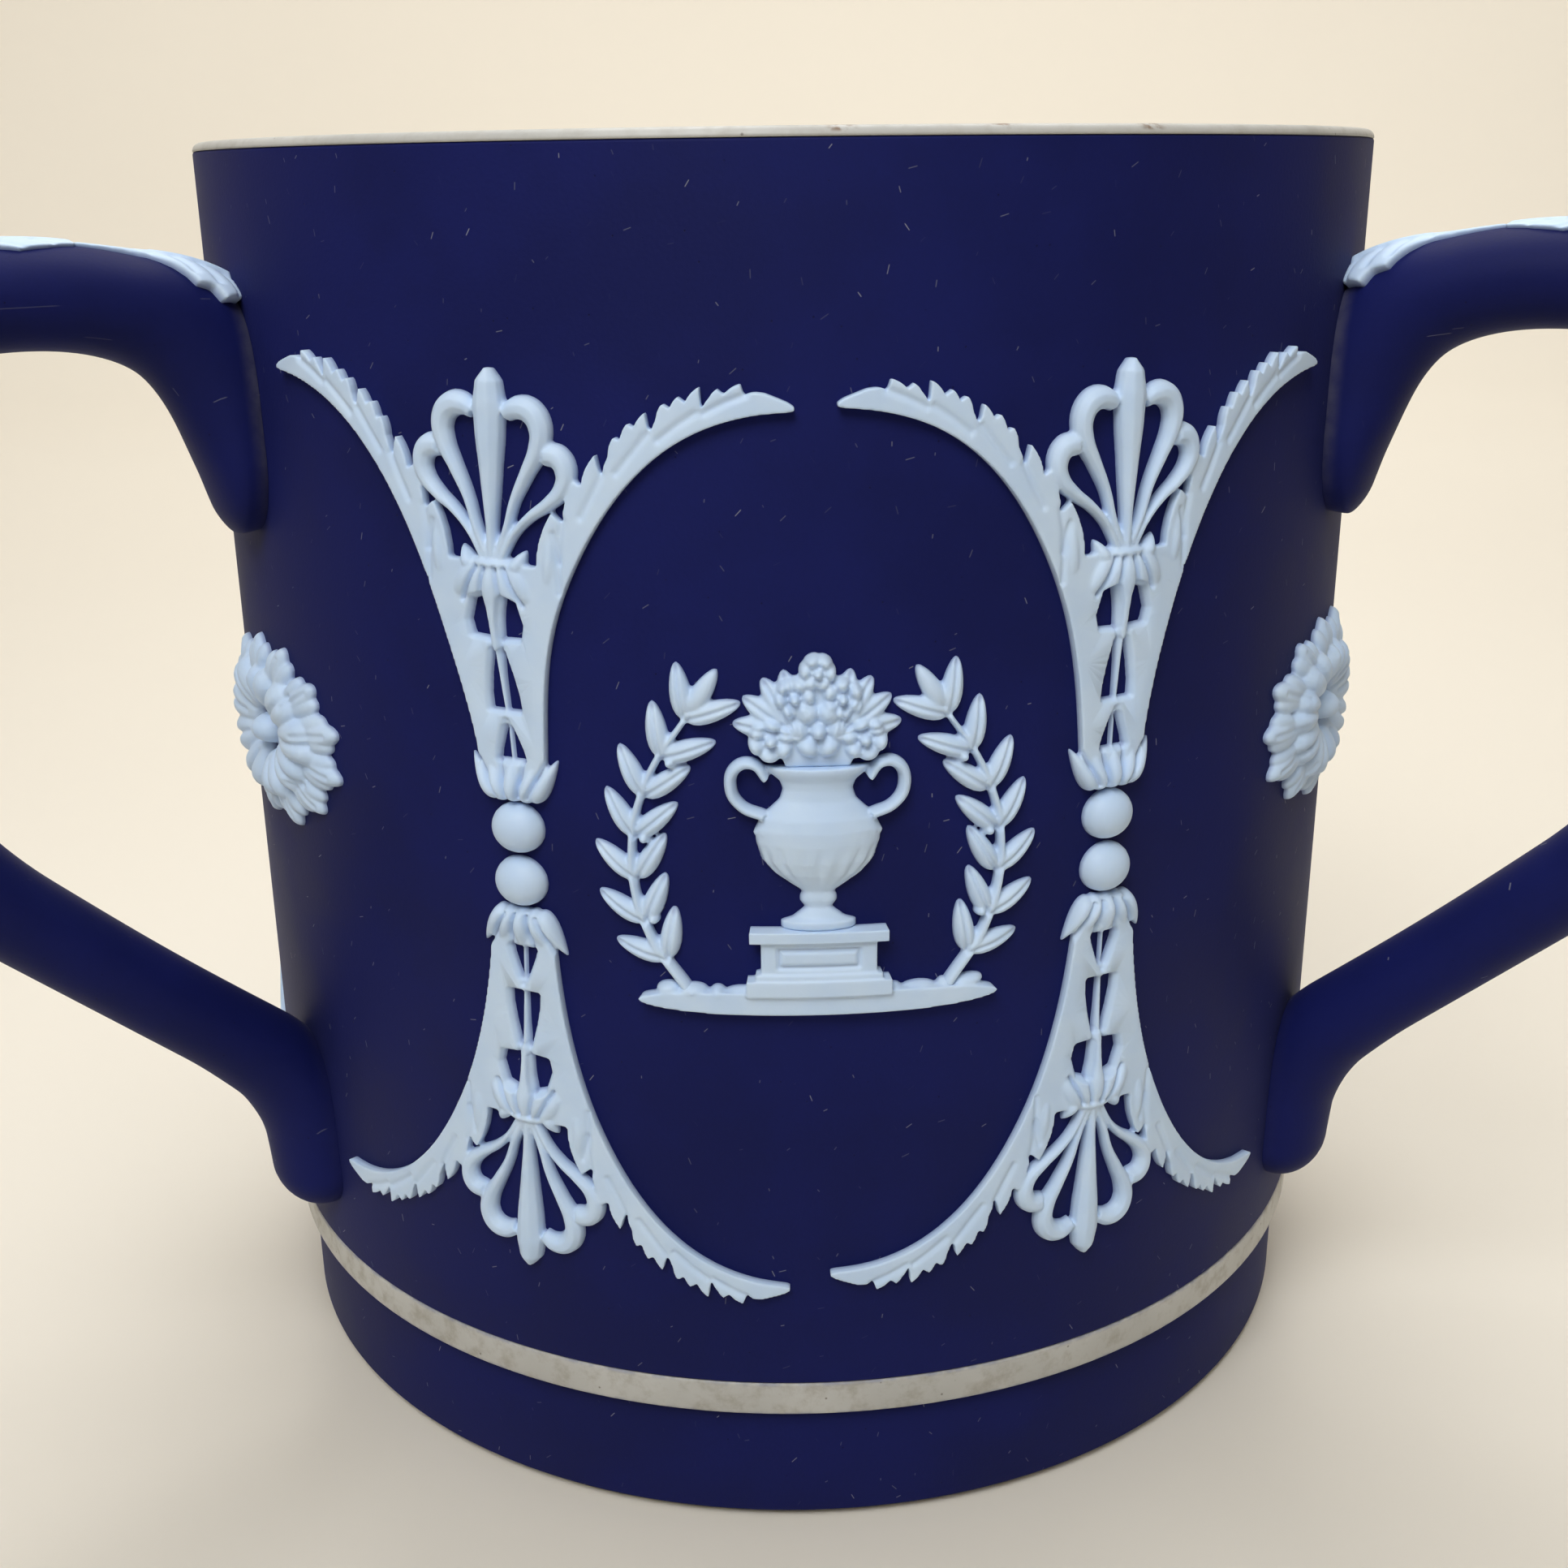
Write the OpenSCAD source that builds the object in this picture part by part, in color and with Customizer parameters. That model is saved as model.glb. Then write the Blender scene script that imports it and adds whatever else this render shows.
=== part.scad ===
// Three-handled loving cup in dry-bodied stoneware: a white cylinder under a dark blue slip
// coat, three loop handles, and white moulded sprigs laid on the wall in relief.
// The rest plane is z = 0, the cup's axis is Z, and the front panel faces -Y.

/* [Cup body] */
// Height of the rim above the table
cup_height = 128.6; // [124:0.1:145]
// Outer radius of the coated wall
wall_radius = 60.2; // [56:0.1:66]
// Thickness of the wall, coat included
wall_thickness = 5; // [4:0.1:8]
// Thickness of the floor
floor_thickness = 7; // [4:0.1:12]
// Radius inside the cup where the wall meets the floor
floor_fillet = 6; // [2:0.5:12]
// Rounding of the bare white lip, which is also the height left uncoated
lip_round = 0.8; // [0.5:0.1:1.8]
// Thickness of the blue slip coat
coat_thickness = 0.5; // [0.3:0.05:0.9]
// Height of the coated foot below the white band
foot_height = 13; // [9:0.5:16]
// How far the foot steps in from the wall
foot_inset = 1.2; // [0.6:0.1:2.5]
// Rounding of the bare edge that the cup stands on
foot_round = 0.8; // [0.4:0.1:1.5]
// Height of the bare white band above the foot
band_height = 3.5; // [2:0.1:5]

/* [Handles] */
// Thickness of a handle in its own plane
handle_thickness = 9; // [7:0.1:11]
// Width of a handle across its plane
handle_width = 10.6; // [8:0.1:13]
// Extra half width at the roots
root_flare = 0.9; // [0:0.1:2]
// Distance along the handle over which a root widens
root_blend = 24; // [16:0.5:30]
// Distance from the wall to the outermost point of the handle's centre line
handle_reach = 39.6; // [38:0.1:44]
// Distance from the rim down to where the upper root starts to bend away
handle_drop = 23.4; // [20:0.1:26]
// Height above the band at which the lower root turns down along the wall
lower_root_rise = 12.8; // [10:0.1:16]
// Centre line's distance from the wall at the upper root
upper_root_gap = 1.7; // [0.5:0.1:3]
// Centre line's distance from the wall at the lower root
lower_root_gap = 0.4; // [0:0.1:2]
// Radius of the bend above the upper root
upper_bend = 9.4; // [8:0.1:11]
// Angle that this bend turns before the slower sweep up to the crest
upper_turn = 73; // [70:1:84]
// Radius of the sweep up to the crest
crest_sweep = 34; // [26:0.5:38]
// Radius of the shoulder where the handle turns down
shoulder_bend = 19; // [15:0.1:21]
// Radius of the sweep below the grip
lower_sweep = 44; // [32:0.5:46]
// Slope of the stay that runs back to the wall
stay_angle = 47; // [42:1:50]
// How much the stay is thinned on the finger side
stay_hollow = 0.5; // [0:0.1:1]
// Radius of the bend above the lower root
lower_bend = 14; // [10:0.5:18]
// Extra thickness outside the lower bend
lower_web = 0.8; // [0:0.1:1.5]
// Straight run of each root along the wall
root_run = 4; // [2:0.1:6]
// Length over which the upper root's tongue rounds off in width
upper_tongue = 8; // [5:0.1:10]
// Length over which the tongue's end rounds off in thickness
tongue_end = 2.7; // [1.5:0.1:4]
// Length over which the tongue thins towards its end on the finger side
tongue_taper = 16; // [10:0.5:18]
// Share of the finger side's thickness that is left at the tongue's end
tongue_tip = 0.25; // [0.15:0.05:0.6]
// Extra thickness inside the upper bend
web_thickness = 1.2; // [0:0.1:2]
// Distance along the handle over which the extra thickness of a bend fades
web_reach = 13; // [10:0.5:16]
// Length of the rounded tongue that ends the lower root
lower_tongue = 4.6; // [3:0.1:7]

/* [Handle leaves] */
// Height of a leaf above the handle
leaf_relief = 0.9; // [0.5:0.1:1.4]
// Distance along the handle from the wall to the root leaf
leaf_clearance = 0.6; // [0.4:0.1:2]
// How many times thicker the root leaf is where it meets the wall
root_leaf_hump = 2; // [1:0.1:2.4]
// Length of the root leaf along the handle
root_leaf_length = 10.5; // [8:0.1:13]
// Width of the root leaf at the wall
root_leaf_width = 7; // [5:0.1:8]
// Gap between the root leaf's thin end and the crest leaf
crest_leaf_gap = 0.8; // [0.4:0.1:4]
// Length of the crest leaf along the handle
crest_leaf_length = 26; // [16:0.5:32]
// Width of the crest leaf
crest_leaf_width = 6.4; // [4:0.1:8]

/* [Columns] */
// Angle round the cup from a panel's centre to a column's axis
column_spread = 25.4; // [24:0.1:26]
// Distance from the band up to the lowest point of a column
column_rise = 10.8; // [8:0.1:14]
// Height of the oval between two columns, from its middle
oval_half_height = 39.4; // [36:0.1:41]
// Squareness of that oval, where 2 is an ellipse
oval_power = 2.3; // [2:0.05:2.6]
// Height of the middle lobe's tip above the oval
lobe_rise = 2; // [0.5:0.1:2.5]
// Half width of the middle lobe
lobe_half_width = 1.5; // [1:0.1:1.8]
// Distance from the top of the oval down to the fan's root on the trunk
fan_drop = 13.4; // [12:0.1:15]
// Half width of the fan of curled canes, to their centre lines
fan_half_width = 6.8; // [6:0.1:7.4]
// Half width of a cane at its curl
cane_half_width = 1.1; // [0.7:0.05:1.3]
// Length of the leaves that hang under the fan
calyx_length = 5.4; // [4.5:0.1:6]
// Height of the leaf crown that stands on the beads
crown_height = 4.2; // [3.5:0.1:5]
// Half width of the stem where it runs into the calyx
stem_half_width = 0.75; // [0.5:0.05:0.9]
// Half width of a column at its narrowest
trunk_half_width = 2.85; // [2.4:0.05:3.2]
// Gap between two arm tips at the panel's centre
tip_gap = 4; // [3:0.1:6]
// Width of an arm at its first lobe
arm_width = 3.3; // [2.6:0.1:3.6]
// Share of its width that an arm loses towards its tip
arm_taper = 0.2; // [0:0.05:0.4]
// Share of an arm's width that is left under the notch between two lobes
arm_notch = 0.58; // [0.45:0.01:0.75]
// Lobes along the outer edge of an arm
arm_lobes = 5; // [4:1:6]
// Relief of the trunk and arms
frond_relief = 0.9; // [0.7:0.1:1.4]
// Relief of the canes and the stem
cane_relief = 1.2; // [0.9:0.1:1.6]
// Relief of the middle lobe, the crown and the calyx
carving_relief = 1.6; // [1.3:0.1:2.2]
// Diameter of a bead
bead_diameter = 4.9; // [4:0.1:5.4]
// Relief of a bead
bead_relief = 2.1; // [1.5:0.1:2.4]
// Gap between a bead and what it meets
bead_gap = 0.1; // [0.05:0.05:0.3]

/* [Rosettes] */
// Height of a rosette's middle above the band
rosette_rise = 57.2; // [54:0.1:62]
// Half width of a rosette round the cup
rosette_half_width = 15; // [12:0.1:16]
// Half height of a rosette
rosette_half_height = 9.6; // [8:0.1:12]
// Petals in the outer ring
rosette_petals = 14; // [8:1:18]
// Relief of the outer ring of petals
rosette_relief = 1.2; // [0.6:0.1:1.8]

/* [Panel scenes] */
// Height of the ground strip's lower edge above the band
scene_rise = 39; // [36:0.5:44]
// Width of the ground strip
ground_width = 31.4; // [26:0.2:34]
// Height of the ground strip at its middle
ground_height = 2.2; // [1.6:0.1:3]
// Relief of the ground strip and the plinth
ground_relief = 1.3; // [0.8:0.1:1.8]
// Width of the plinth
plinth_width = 12.4; // [9:0.2:14]
// Height of the plinth
plinth_height = 5.8; // [4:0.1:8]
// Height of the urn from its foot to its rim
urn_height = 14.7; // [12:0.1:17]
// Width of the urn's bowl
urn_width = 10.8; // [8:0.1:12]
// Half width of the urn's loop handles
urn_loop = 0.6; // [0.4:0.05:0.8]
// Share of a full round that the urn stands out from the wall
urn_depth = 0.42; // [0.3:0.01:0.5]
// Relief of the flowers and leaves
spray_relief = 1.1; // [0.7:0.1:1.6]
// Radius of the largest flower
flower_radius = 2.4; // [1.8:0.1:2.8]
// Height of a laurel branch
laurel_height = 25; // [20:0.5:28]
// Half width of a laurel stem at its foot
laurel_stem = 0.5; // [0.3:0.05:0.7]
// Leaves on each side of a laurel branch
laurel_leaves = 6; // [4:1:8]

/* [Hidden] */
$fn = 120;
blue = [0.12, 0.13, 0.34];
white = [0.84, 0.88, 0.92];

PANELS = [["front", 0], ["right", 120], ["left", 240]];
HANDLES = [["right", 60], ["back", 180], ["left", 300]];
SIDES = [["left", -1], ["right", 1]];
HANDLE_PIECES = ["handle", "root_leaf", "crest_leaf", "rosette"];
COLUMN_PIECES = ["upper", "lower", "beads"];
SCENE_PIECES = ["ground", "urn", "bouquet", "laurels"];

band_top = foot_height + band_height;
coat_top = cup_height - lip_round;
wall_core = wall_radius - coat_thickness;
foot_radius = wall_radius - foot_inset;
foot_core = foot_radius - coat_thickness;
inner_radius = wall_radius - wall_thickness;
wall_reach = 2 * cup_height;
wall_fineness = 288;

column_arc = column_spread * PI / 180 * wall_radius;
oval_half_width = column_arc - trunk_half_width;
crown_base = bead_diameter + 2 * bead_gap;
crown_top = crown_base + crown_height;
trunk_top = oval_half_height - fan_drop;
lobe_top = oval_half_height + lobe_rise;
fan_height = lobe_top - trunk_top;
lobes_start = trunk_top + 0.17 * fan_height;
column_mid = band_top + column_rise + lobe_top;

upper_root_z = cup_height - handle_drop;
bend_rise = upper_bend * sin(upper_turn) + crest_sweep * (1 - sin(upper_turn));
bend_run = upper_bend * (1 - cos(upper_turn)) + crest_sweep * cos(upper_turn);
crest_z = upper_root_z + bend_rise;
crest_run = handle_reach - upper_root_gap - bend_run - shoulder_bend;
lower_root_z = band_top + lower_root_rise;
swing = 1 - cos(stay_angle);
stay_drift = handle_reach - lower_root_gap - (lower_sweep + lower_bend) * swing;
stay_length = stay_drift / sin(stay_angle);
stay_drop = stay_length * cos(stay_angle) + (lower_sweep + lower_bend) * sin(stay_angle);
grip_run = crest_z - shoulder_bend - lower_root_z - stay_drop;

handle_sides = 16;
blunt_end = 0.02;
wall_exit = acos((upper_root_gap + upper_bend) / (upper_bend + handle_thickness / 2));
root_leaf_start = upper_tongue + root_run + upper_bend * PI / 180 * wall_exit + leaf_clearance;

scene_base = band_top + scene_rise;
urn_base = ground_height + plinth_height;
urn_rim = urn_base + urn_height;

// Points and outlines

function flip(points) = [for (i = [len(points) - 1:-1:0]) points[i]];
function mirrored(points) = [for (p = points) [-p.x, p.y]];
function both_sides(points) = concat(points, flip(mirrored(points)));
function arc(centre, radius, from, to, steps = 8) =
    [for (k = [0:steps]) let(a = from + (to - from) * k / steps) centre + radius * [cos(a), sin(a)]];

// Where a point of a flat sprig, as arc along the wall and height, is seen from straight ahead
function wrapped(points) = [for (p = points) [wall_radius * sin(p.x / wall_radius * 180 / PI), p.y]];

// Smooth curve through control points, with a number of steps between each two
function curve(points, steps = 4) = let(last = len(points) - 1) [
    for (i = [0:last - 1], k = [0:steps - 1])
        blended(points[max(i - 1, 0)], points[i], points[i + 1], points[min(i + 2, last)], k / steps),
    points[last]
];
function blended(a, b, c, d, t) =
    b + t / 2 * (c - a + t * (2 * a - 5 * b + 4 * c - d + t * (3 * (b - c) + d - a)));

// Outline of a strip whose centre line points carry half the strip's width as a third value
function strip(line) = concat(strip_side(line, 1), flip(strip_side(line, -1)));
function strip_side(line, side) = [
    for (i = [0:len(line) - 1])
        let(d = line[min(i + 1, len(line) - 1)] - line[max(i - 1, 0)], n = [-d.y, d.x] / norm([d.x, d.y]))
        [line[i].x, line[i].y] + side * line[i].z * n
];

// Pointed leaf that starts at a point and runs in a direction
function leaf(start, heading, length, width, steps = 5) = let(
    along = [cos(heading), sin(heading)],
    edge = [for (k = [0:steps]) [length * k / steps, width / 2 * sin(180 * pow(k / steps, 0.8))]]
) [for (p = concat(edge, [for (k = [steps - 1:-1:1]) [edge[k].x, -edge[k].y]]))
    start + p.x * along + p.y * [-along.y, along.x]];

// Round flower outline, scalloped into petals
function petals(count, half_width, half_height, notch, steps = 6) = [
    for (k = [0:count * steps - 1])
        let(a = 360 * k / (count * steps), r = 1 - notch * pow(abs(cos(count * a / 2)), 3))
        [half_width * r * cos(a), half_height * r * sin(a)]
];

// Smooth edge of a column's right arm, as arc from the column's axis and height from its middle
function oval_edge(a) = [
    column_arc - oval_half_width * pow(cos(a), 2 / oval_power),
    oval_half_height * pow(sin(a), 2 / oval_power)
];
function oval_angle_at_height(v) = asin(pow(v / oval_half_height, oval_power / 2));
function oval_angle_at_gap(gap) = acos(pow(gap / 2 / oval_half_width, oval_power / 2));

// Body and coats

module body() {
    inside_floor = floor_thickness + floor_fillet;
    outside = concat(
        [[0, 0]],
        arc([foot_core - foot_round, foot_round], foot_round, -90, 0),
        [[foot_core, foot_height], [wall_radius, foot_height], [wall_radius, band_top]],
        [[wall_core, band_top], [wall_core, coat_top]],
        arc([wall_radius - lip_round, coat_top], lip_round, 0, 90)
    );
    inside = concat(
        arc([inner_radius + lip_round, coat_top], lip_round, 90, 180),
        arc([inner_radius - floor_fillet, inside_floor], floor_fillet, 0, -90),
        [[0, floor_thickness]]
    );
    color(white) rotate_extrude() polygon(concat(outside, inside));
}

module coat(inner, from, to) {
    color(blue) rotate_extrude() translate([inner, from]) square([coat_thickness, to - from]);
}

module wall_coat() coat(wall_core, band_top, coat_top);

module foot_coat() coat(foot_core, foot_round, foot_height);

// Handles, each an oval section swept along a route that starts up the wall and ends down it.
// A route is a list of stretches, each with its length and the angle that it turns outwards.

function turned(radius, angle) = [radius * PI / 180 * abs(angle), angle];
ROUTE = [
    [upper_tongue + root_run, 0], turned(upper_bend, upper_turn), turned(crest_sweep, 90 - upper_turn),
    [crest_run, 0], turned(shoulder_bend, 90), [grip_run, 0], turned(lower_sweep, stay_angle),
    [stay_length, 0], turned(lower_bend, -stay_angle), [root_run + lower_tongue, 0]
];
ROUTE_RINGS = [6, 7, 3, 1, 8, 1, 5, 4, 4, 6];
route_start = [wall_radius + upper_root_gap, upper_root_z - root_run - upper_tongue];
function route_to(i) = i == 0 ? 0 : route_to(i - 1) + ROUTE[i - 1][0];
route_length = route_to(len(ROUTE));

// Place on the route at a distance from its start, as radius, height and heading from upright
function travel(p, heading, stretch, share) = let(length = stretch[0] * share, angle = stretch[1] * share)
    angle == 0 ? p + length * [sin(heading), cos(heading)]
        : p + length / angle * 180 / PI
            * [cos(heading) - cos(heading + angle), sin(heading + angle) - sin(heading)];
function on_route(d, i = 0, p = route_start, heading = 0) = let(r = ROUTE[i], share = d / r[0])
    share > 1 && i < len(ROUTE) - 1 ? on_route(d - r[0], i + 1, travel(p, heading, r, 1), heading + r[1])
        : let(q = travel(p, heading, r, share)) [q.x, q.y, heading + r[1] * share];

// Half sizes of the section, which close to a round tongue at either end and widen at the roots
function closing(d, length) = sqrt(1 - pow(1 - min(d / length, 1), 2));
function ends(d, tongue) = max(closing(d, tongue) * closing(route_length - d, lower_tongue), blunt_end);
function flare(d) = root_flare * pow(max(0, 1 - min(d, route_length - d) / root_blend), 2);
function half_thickness(d) = handle_thickness / 2 * ends(d, tongue_end);
function half_width(d) = (handle_width / 2 + flare(d)) * ends(d, upper_tongue);

// Places along the route where the section swells or thins, each fading to nothing over a reach
upper_web_place = route_to(1) + 0.55 * ROUTE[1][0];
hollow_place = route_to(7) + ROUTE[7][0] / 2;
lower_web_place = route_to(8) + ROUTE[8][0] / 2;
function faded(d, place, reach) = pow(cos(90 * min(abs(d - place) / reach, 1)), 2);

// Half thickness on the finger side, thinned towards the tongue, and on the outer side
function finger_half(d) = half_thickness(d) * (tongue_tip + (1 - tongue_tip) * min(d / tongue_taper, 1))
    + web_thickness * faded(d, upper_web_place, web_reach)
    - stay_hollow * faded(d, hollow_place, 2 * web_reach);
function outer_half(d) = half_thickness(d) + lower_web * faded(d, lower_web_place, web_reach);

// Point on the section at an angle from its inner side, moved out to the wall where it falls inside it
function section_point(d, angle, grow = 0) = let(
    place = on_route(d),
    half = cos(angle) > 0 ? finger_half(d) : outer_half(d),
    in_plane = (half + grow) * cos(angle),
    across = (half_width(d) + grow) * sin(angle),
    radius = place.x + in_plane * cos(place.z),
    reach = norm([radius, across]),
    seat = max(wall_radius / reach, 1)
) [radius * seat, across * seat, place.y - in_plane * sin(place.z)];

// Closed skin over rings of points that all have the same count
module loft(rings) {
    count = len(rings[0]);
    last = len(rings) - 1;
    points = [for (r = rings, p = r) p];
    sides = [for (i = [0:last - 1], k = [0:count - 1]) let(
        a = i * count + k,
        b = i * count + (k + 1) % count
    ) each [[a, b, a + count], [b, b + count, a + count]]];
    ends = [[for (k = [count - 1:-1:0]) k], [for (k = [0:count - 1]) last * count + k]];
    polyhedron(points, concat(sides, ends));
}

// Rings lie closer together towards both ends of the route
function spaced(i, share) =
    i == 0 ? share * share : i == len(ROUTE) - 1 ? 1 - pow(1 - share, 2) : share;

module handle(angle) {
    stations = concat(
        [for (i = [0:len(ROUTE) - 1], k = [0:ROUTE_RINGS[i] - 1])
            route_to(i) + ROUTE[i][0] * spaced(i, k / ROUTE_RINGS[i])],
        [route_length]
    );
    color(blue) rotate(angle - 90)
        loft([for (d = stations) [for (k = [0:handle_sides - 1]) section_point(d, -360 * k / handle_sides)]]);
}

// Leaf along a handle's spine, whose half width at each share of its length is given, and which may
// be thicker where it starts
module spine_leaf(angle, start, length, half_widths, hump = 1) {
    last = len(half_widths) - 1;
    color(white) rotate(angle - 90) loft([
        for (i = [0:last])
            let(
                d = start + length * i / last,
                half = half_widths[i],
                lift = leaf_relief * (1 + (hump - 1) * pow(1 - i / last, 3))
            )
            concat(
                [for (t = [1:-0.5:-1]) spine_point(d, t * half, 0)],
                [for (t = [-1:0.5:1]) spine_point(d, t * half, lift * (1 - 0.75 * t * t))]
            )
    ]);
}
function spine_point(d, across, lift) = section_point(d, 180 - asin(across / half_width(d)), lift);

module root_leaf(angle) {
    half = root_leaf_width / 2;
    lobes = [1, 0.88, 1, 0.72, 0.52, 0.3, 0.2, 0.16, 0.14, 0.13, 0.12, 0.12];
    spine_leaf(angle, root_leaf_start, root_leaf_length, half * lobes, root_leaf_hump);
}

module crest_leaf(angle) {
    half = crest_leaf_width / 2;
    start = root_leaf_start + root_leaf_length + crest_leaf_gap;
    lobes = [0.25, 0.55, 0.7, 0.5, 0.75, 0.9, 0.68, 0.95, 1, 0.75, 0.85, 0.6, 0.2];
    spine_leaf(angle, start, crest_leaf_length, half * lobes);
}

module wall_space() {
    cylinder(r = wall_radius, h = wall_reach, center = true, $fn = wall_fineness);
}

// Sprigs, drawn flat and stood up on the wall with their backs against it

module sprig(angle, height) {
    color(white) rotate(angle) translate([0, 0, height]) children();
}

module raised(relief) {
    intersection() {
        rotate([90, 0, 0]) linear_extrude(wall_radius + 2 * relief) children();
        difference() {
            cylinder(r = wall_radius + relief, h = wall_reach, center = true, $fn = wall_fineness);
            wall_space();
        }
    }
}

module plate(points) {
    polygon(wrapped(points));
}

module plate_pair(points) {
    plate(points);
    plate(mirrored(points));
}

// Part of a ball that stands out from the wall, such as a bead or the eye of a flower
module boss(position, diameter, relief) {
    difference() {
        rotate(position.x / wall_radius * 180 / PI)
            translate([0, diameter / 2 - wall_radius - relief, position.y]) sphere(d = diameter, $fn = 96);
        wall_space();
    }
}

// Half a column: leaf crown, pierced trunk, two lobed arms and a fan of curled canes

// A lobe swells from its notch, is nicked once, and ends in a tip that leans over the next notch
LOBE = [[0, arm_notch], [0.3, 0.92], [0.54, 1.05], [0.62, 0.94], [0.95, 1.03], [1.18, 1]];
function arm_outline() = let(
    low = oval_angle_at_height(trunk_top - arm_width),
    high = oval_angle_at_gap(tip_gap),
    lobed = oval_angle_at_height(lobes_start),
    smooth = [for (k = [0:20]) oval_edge(low + (high - low) * k / 20)],
    inner = [for (k = [0:3]) arm_point(low + (lobed - low) * k / 3, arm_width * (0.85 + 0.09 * k))],
    outer = [for (i = [0:arm_lobes - 1], s = LOBE) let(p = (i + s.x) / arm_lobes)
        if (p < 0.995) arm_point(lobed + (high - lobed) * p, lobe_width(p) * s.y)]
) concat(smooth, flip(concat(inner, outer)));
function lobe_width(p) = arm_width * (1 - arm_taper * p) * sqrt(1 - pow(p, 8));
function arm_point(a, width) = let(
    p = oval_edge(a),
    d = oval_edge(a + 0.5) - oval_edge(a - 0.5)
) p + width * [-d.y, d.x] / norm(d);

// Points given as shares of the trunk's half width and of its height between crown and fan
function on_trunk(points) =
    [for (p = points) [trunk_half_width * p.x, crown_top + (trunk_top - crown_top) * p.y, p.z]];

module trunk() {
    low = oval_angle_at_height(crown_base + crown_height / 2);
    high = oval_angle_at_height(trunk_top);
    edge = [for (k = [0:10]) oval_edge(low + (high - low) * k / 10)];
    difference() {
        plate(both_sides(edge));
        plate_pair(on_trunk([[0.07, 0.16], [0.07, -0.03], [0.44, -0.03], [0.37, 0.03], [0.18, 0.12]]));
        plate_pair(on_trunk([[0.1, 0.54], [0.1, 0.24], [0.5, 0.24], [0.48, 0.33], [0.36, 0.43]]));
        plate_pair(on_trunk([[0.4, 0.82], [0.3, 0.75], [0.25, 0.62], [0.8, 0.62], [0.88, 0.69], [0.69, 0.8]]));
    }
}

// Thin stem between the slots, with half widths as shares of its widest
module stem() {
    line = [[0, -0.1, 0.3], [0, 0.1, 0.3], [0, 0.42, 0.48], [0, 0.55, 0.6], [0, 0.64, 0.93], [0, 0.79, 1]];
    plate(strip([for (p = on_trunk(line)) [p.x, p.y, p.z * stem_half_width]]));
}

// Five pointed leaves that splay from a collar
module crown() {
    collar = [[0.7, 0], [0.86, 0.18], [0.78, 0.4]];
    leaves = [[0, 90, 1], [0.32, 70, 0.98], [0.54, 57, 1.05]];
    plate(both_sides([for (p = collar) [trunk_half_width * p.x, crown_base + crown_height * p.y]]));
    for (l = leaves)
        plate_pair(leaf([trunk_half_width * l[0], crown_base], l[1], crown_height * l[2], 0.4 * crown_height));
}

// Points given as shares of the fan's half width and height, and of a strip's widest half width
function on_fan(points, widest) =
    [for (p = points) [fan_half_width * p.x, trunk_top + fan_height * p.y, widest * p.z]];

module canes() {
    tall = [[0.06, 0.03, 0.35], [0.3, 0.3, 0.42], [0.5, 0.48, 0.6], [0.65, 0.61, 0.8], [0.68, 0.71, 0.95],
        [0.56, 0.79, 1], [0.38, 0.8, 0.9], [0.22, 0.77, 0.64]];
    short = [[0.13, 0.03, 0.33], [0.53, 0.26, 0.4], [0.76, 0.33, 0.5], [0.94, 0.41, 0.62], [1, 0.48, 0.75],
        [0.93, 0.54, 0.75], [0.78, 0.54, 0.55]];
    plate_pair(strip(curve(on_fan(tall, cane_half_width), 3)));
    plate_pair(strip(curve(on_fan(short, cane_half_width), 3)));
}

module middle_lobe() {
    line = [[0, 0, 0.3], [0, 0.2, 0.37], [0, 0.46, 0.67], [0, 0.65, 0.9], [0, 0.82, 1], [0, 0.93, 0.8],
        [0, 1, 0.27]];
    plate(strip(on_fan(line, lobe_half_width)));
}

// Leaves that hang under the fan and a point that turns up on either side. Each has its root's place,
// its heading, its length and its width, in shares of the longest leaf's length.
module calyx() {
    leaves = [[0, 0, -90, 1, 0.42], [0.17, 0, -65, 0.78, 0.42], [0.37, 0, -53, 0.68, 0.36],
        [0.35, -0.15, 59, 0.43, 0.24]];
    collar = [[0.4, -0.17], [0.48, -0.05], [0.4, 0]];
    root = [0, trunk_top];
    plate(both_sides([for (p = collar) root + calyx_length * p]));
    for (l = leaves)
        plate_pair(leaf(root + calyx_length * [l[0], l[1]], l[2], calyx_length * l[3], calyx_length * l[4]));
}

module half_column() {
    raised(frond_relief) {
        trunk();
        plate_pair(arm_outline());
    }
    raised(cane_relief) {
        canes();
        stem();
    }
    raised(carving_relief) {
        crown();
        calyx();
        middle_lobe();
    }
}

module column_upper(angle) {
    sprig(angle, column_mid) half_column();
}

module column_lower(angle) {
    sprig(angle, column_mid) rotate([0, 180, 0]) half_column();
}

module column_beads(angle) {
    sprig(angle, column_mid) for (side = [-1, 1])
        boss([0, side * (bead_diameter / 2 + bead_gap)], bead_diameter, bead_relief);
}

module column_piece(piece, angle) {
    if (piece == "upper") column_upper(angle);
    if (piece == "lower") column_lower(angle);
    if (piece == "beads") column_beads(angle);
}

// Oval rosette under a handle, in three tiers with a knob

module rosette(angle) {
    tiers = [[1, 1], [0.72, 1.45], [0.42, 1.8]];
    sprig(angle, band_top + rosette_rise) {
        for (t = tiers) raised(rosette_relief * t.y)
            plate(petals(rosette_petals, rosette_half_width * t.x, rosette_half_height * t.x, 0.22));
        boss([0, 0], rosette_half_height * 0.5, rosette_relief * 2.2);
    }
}

// Panel scene: an urn of flowers on a plinth between two laurel branches

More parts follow.
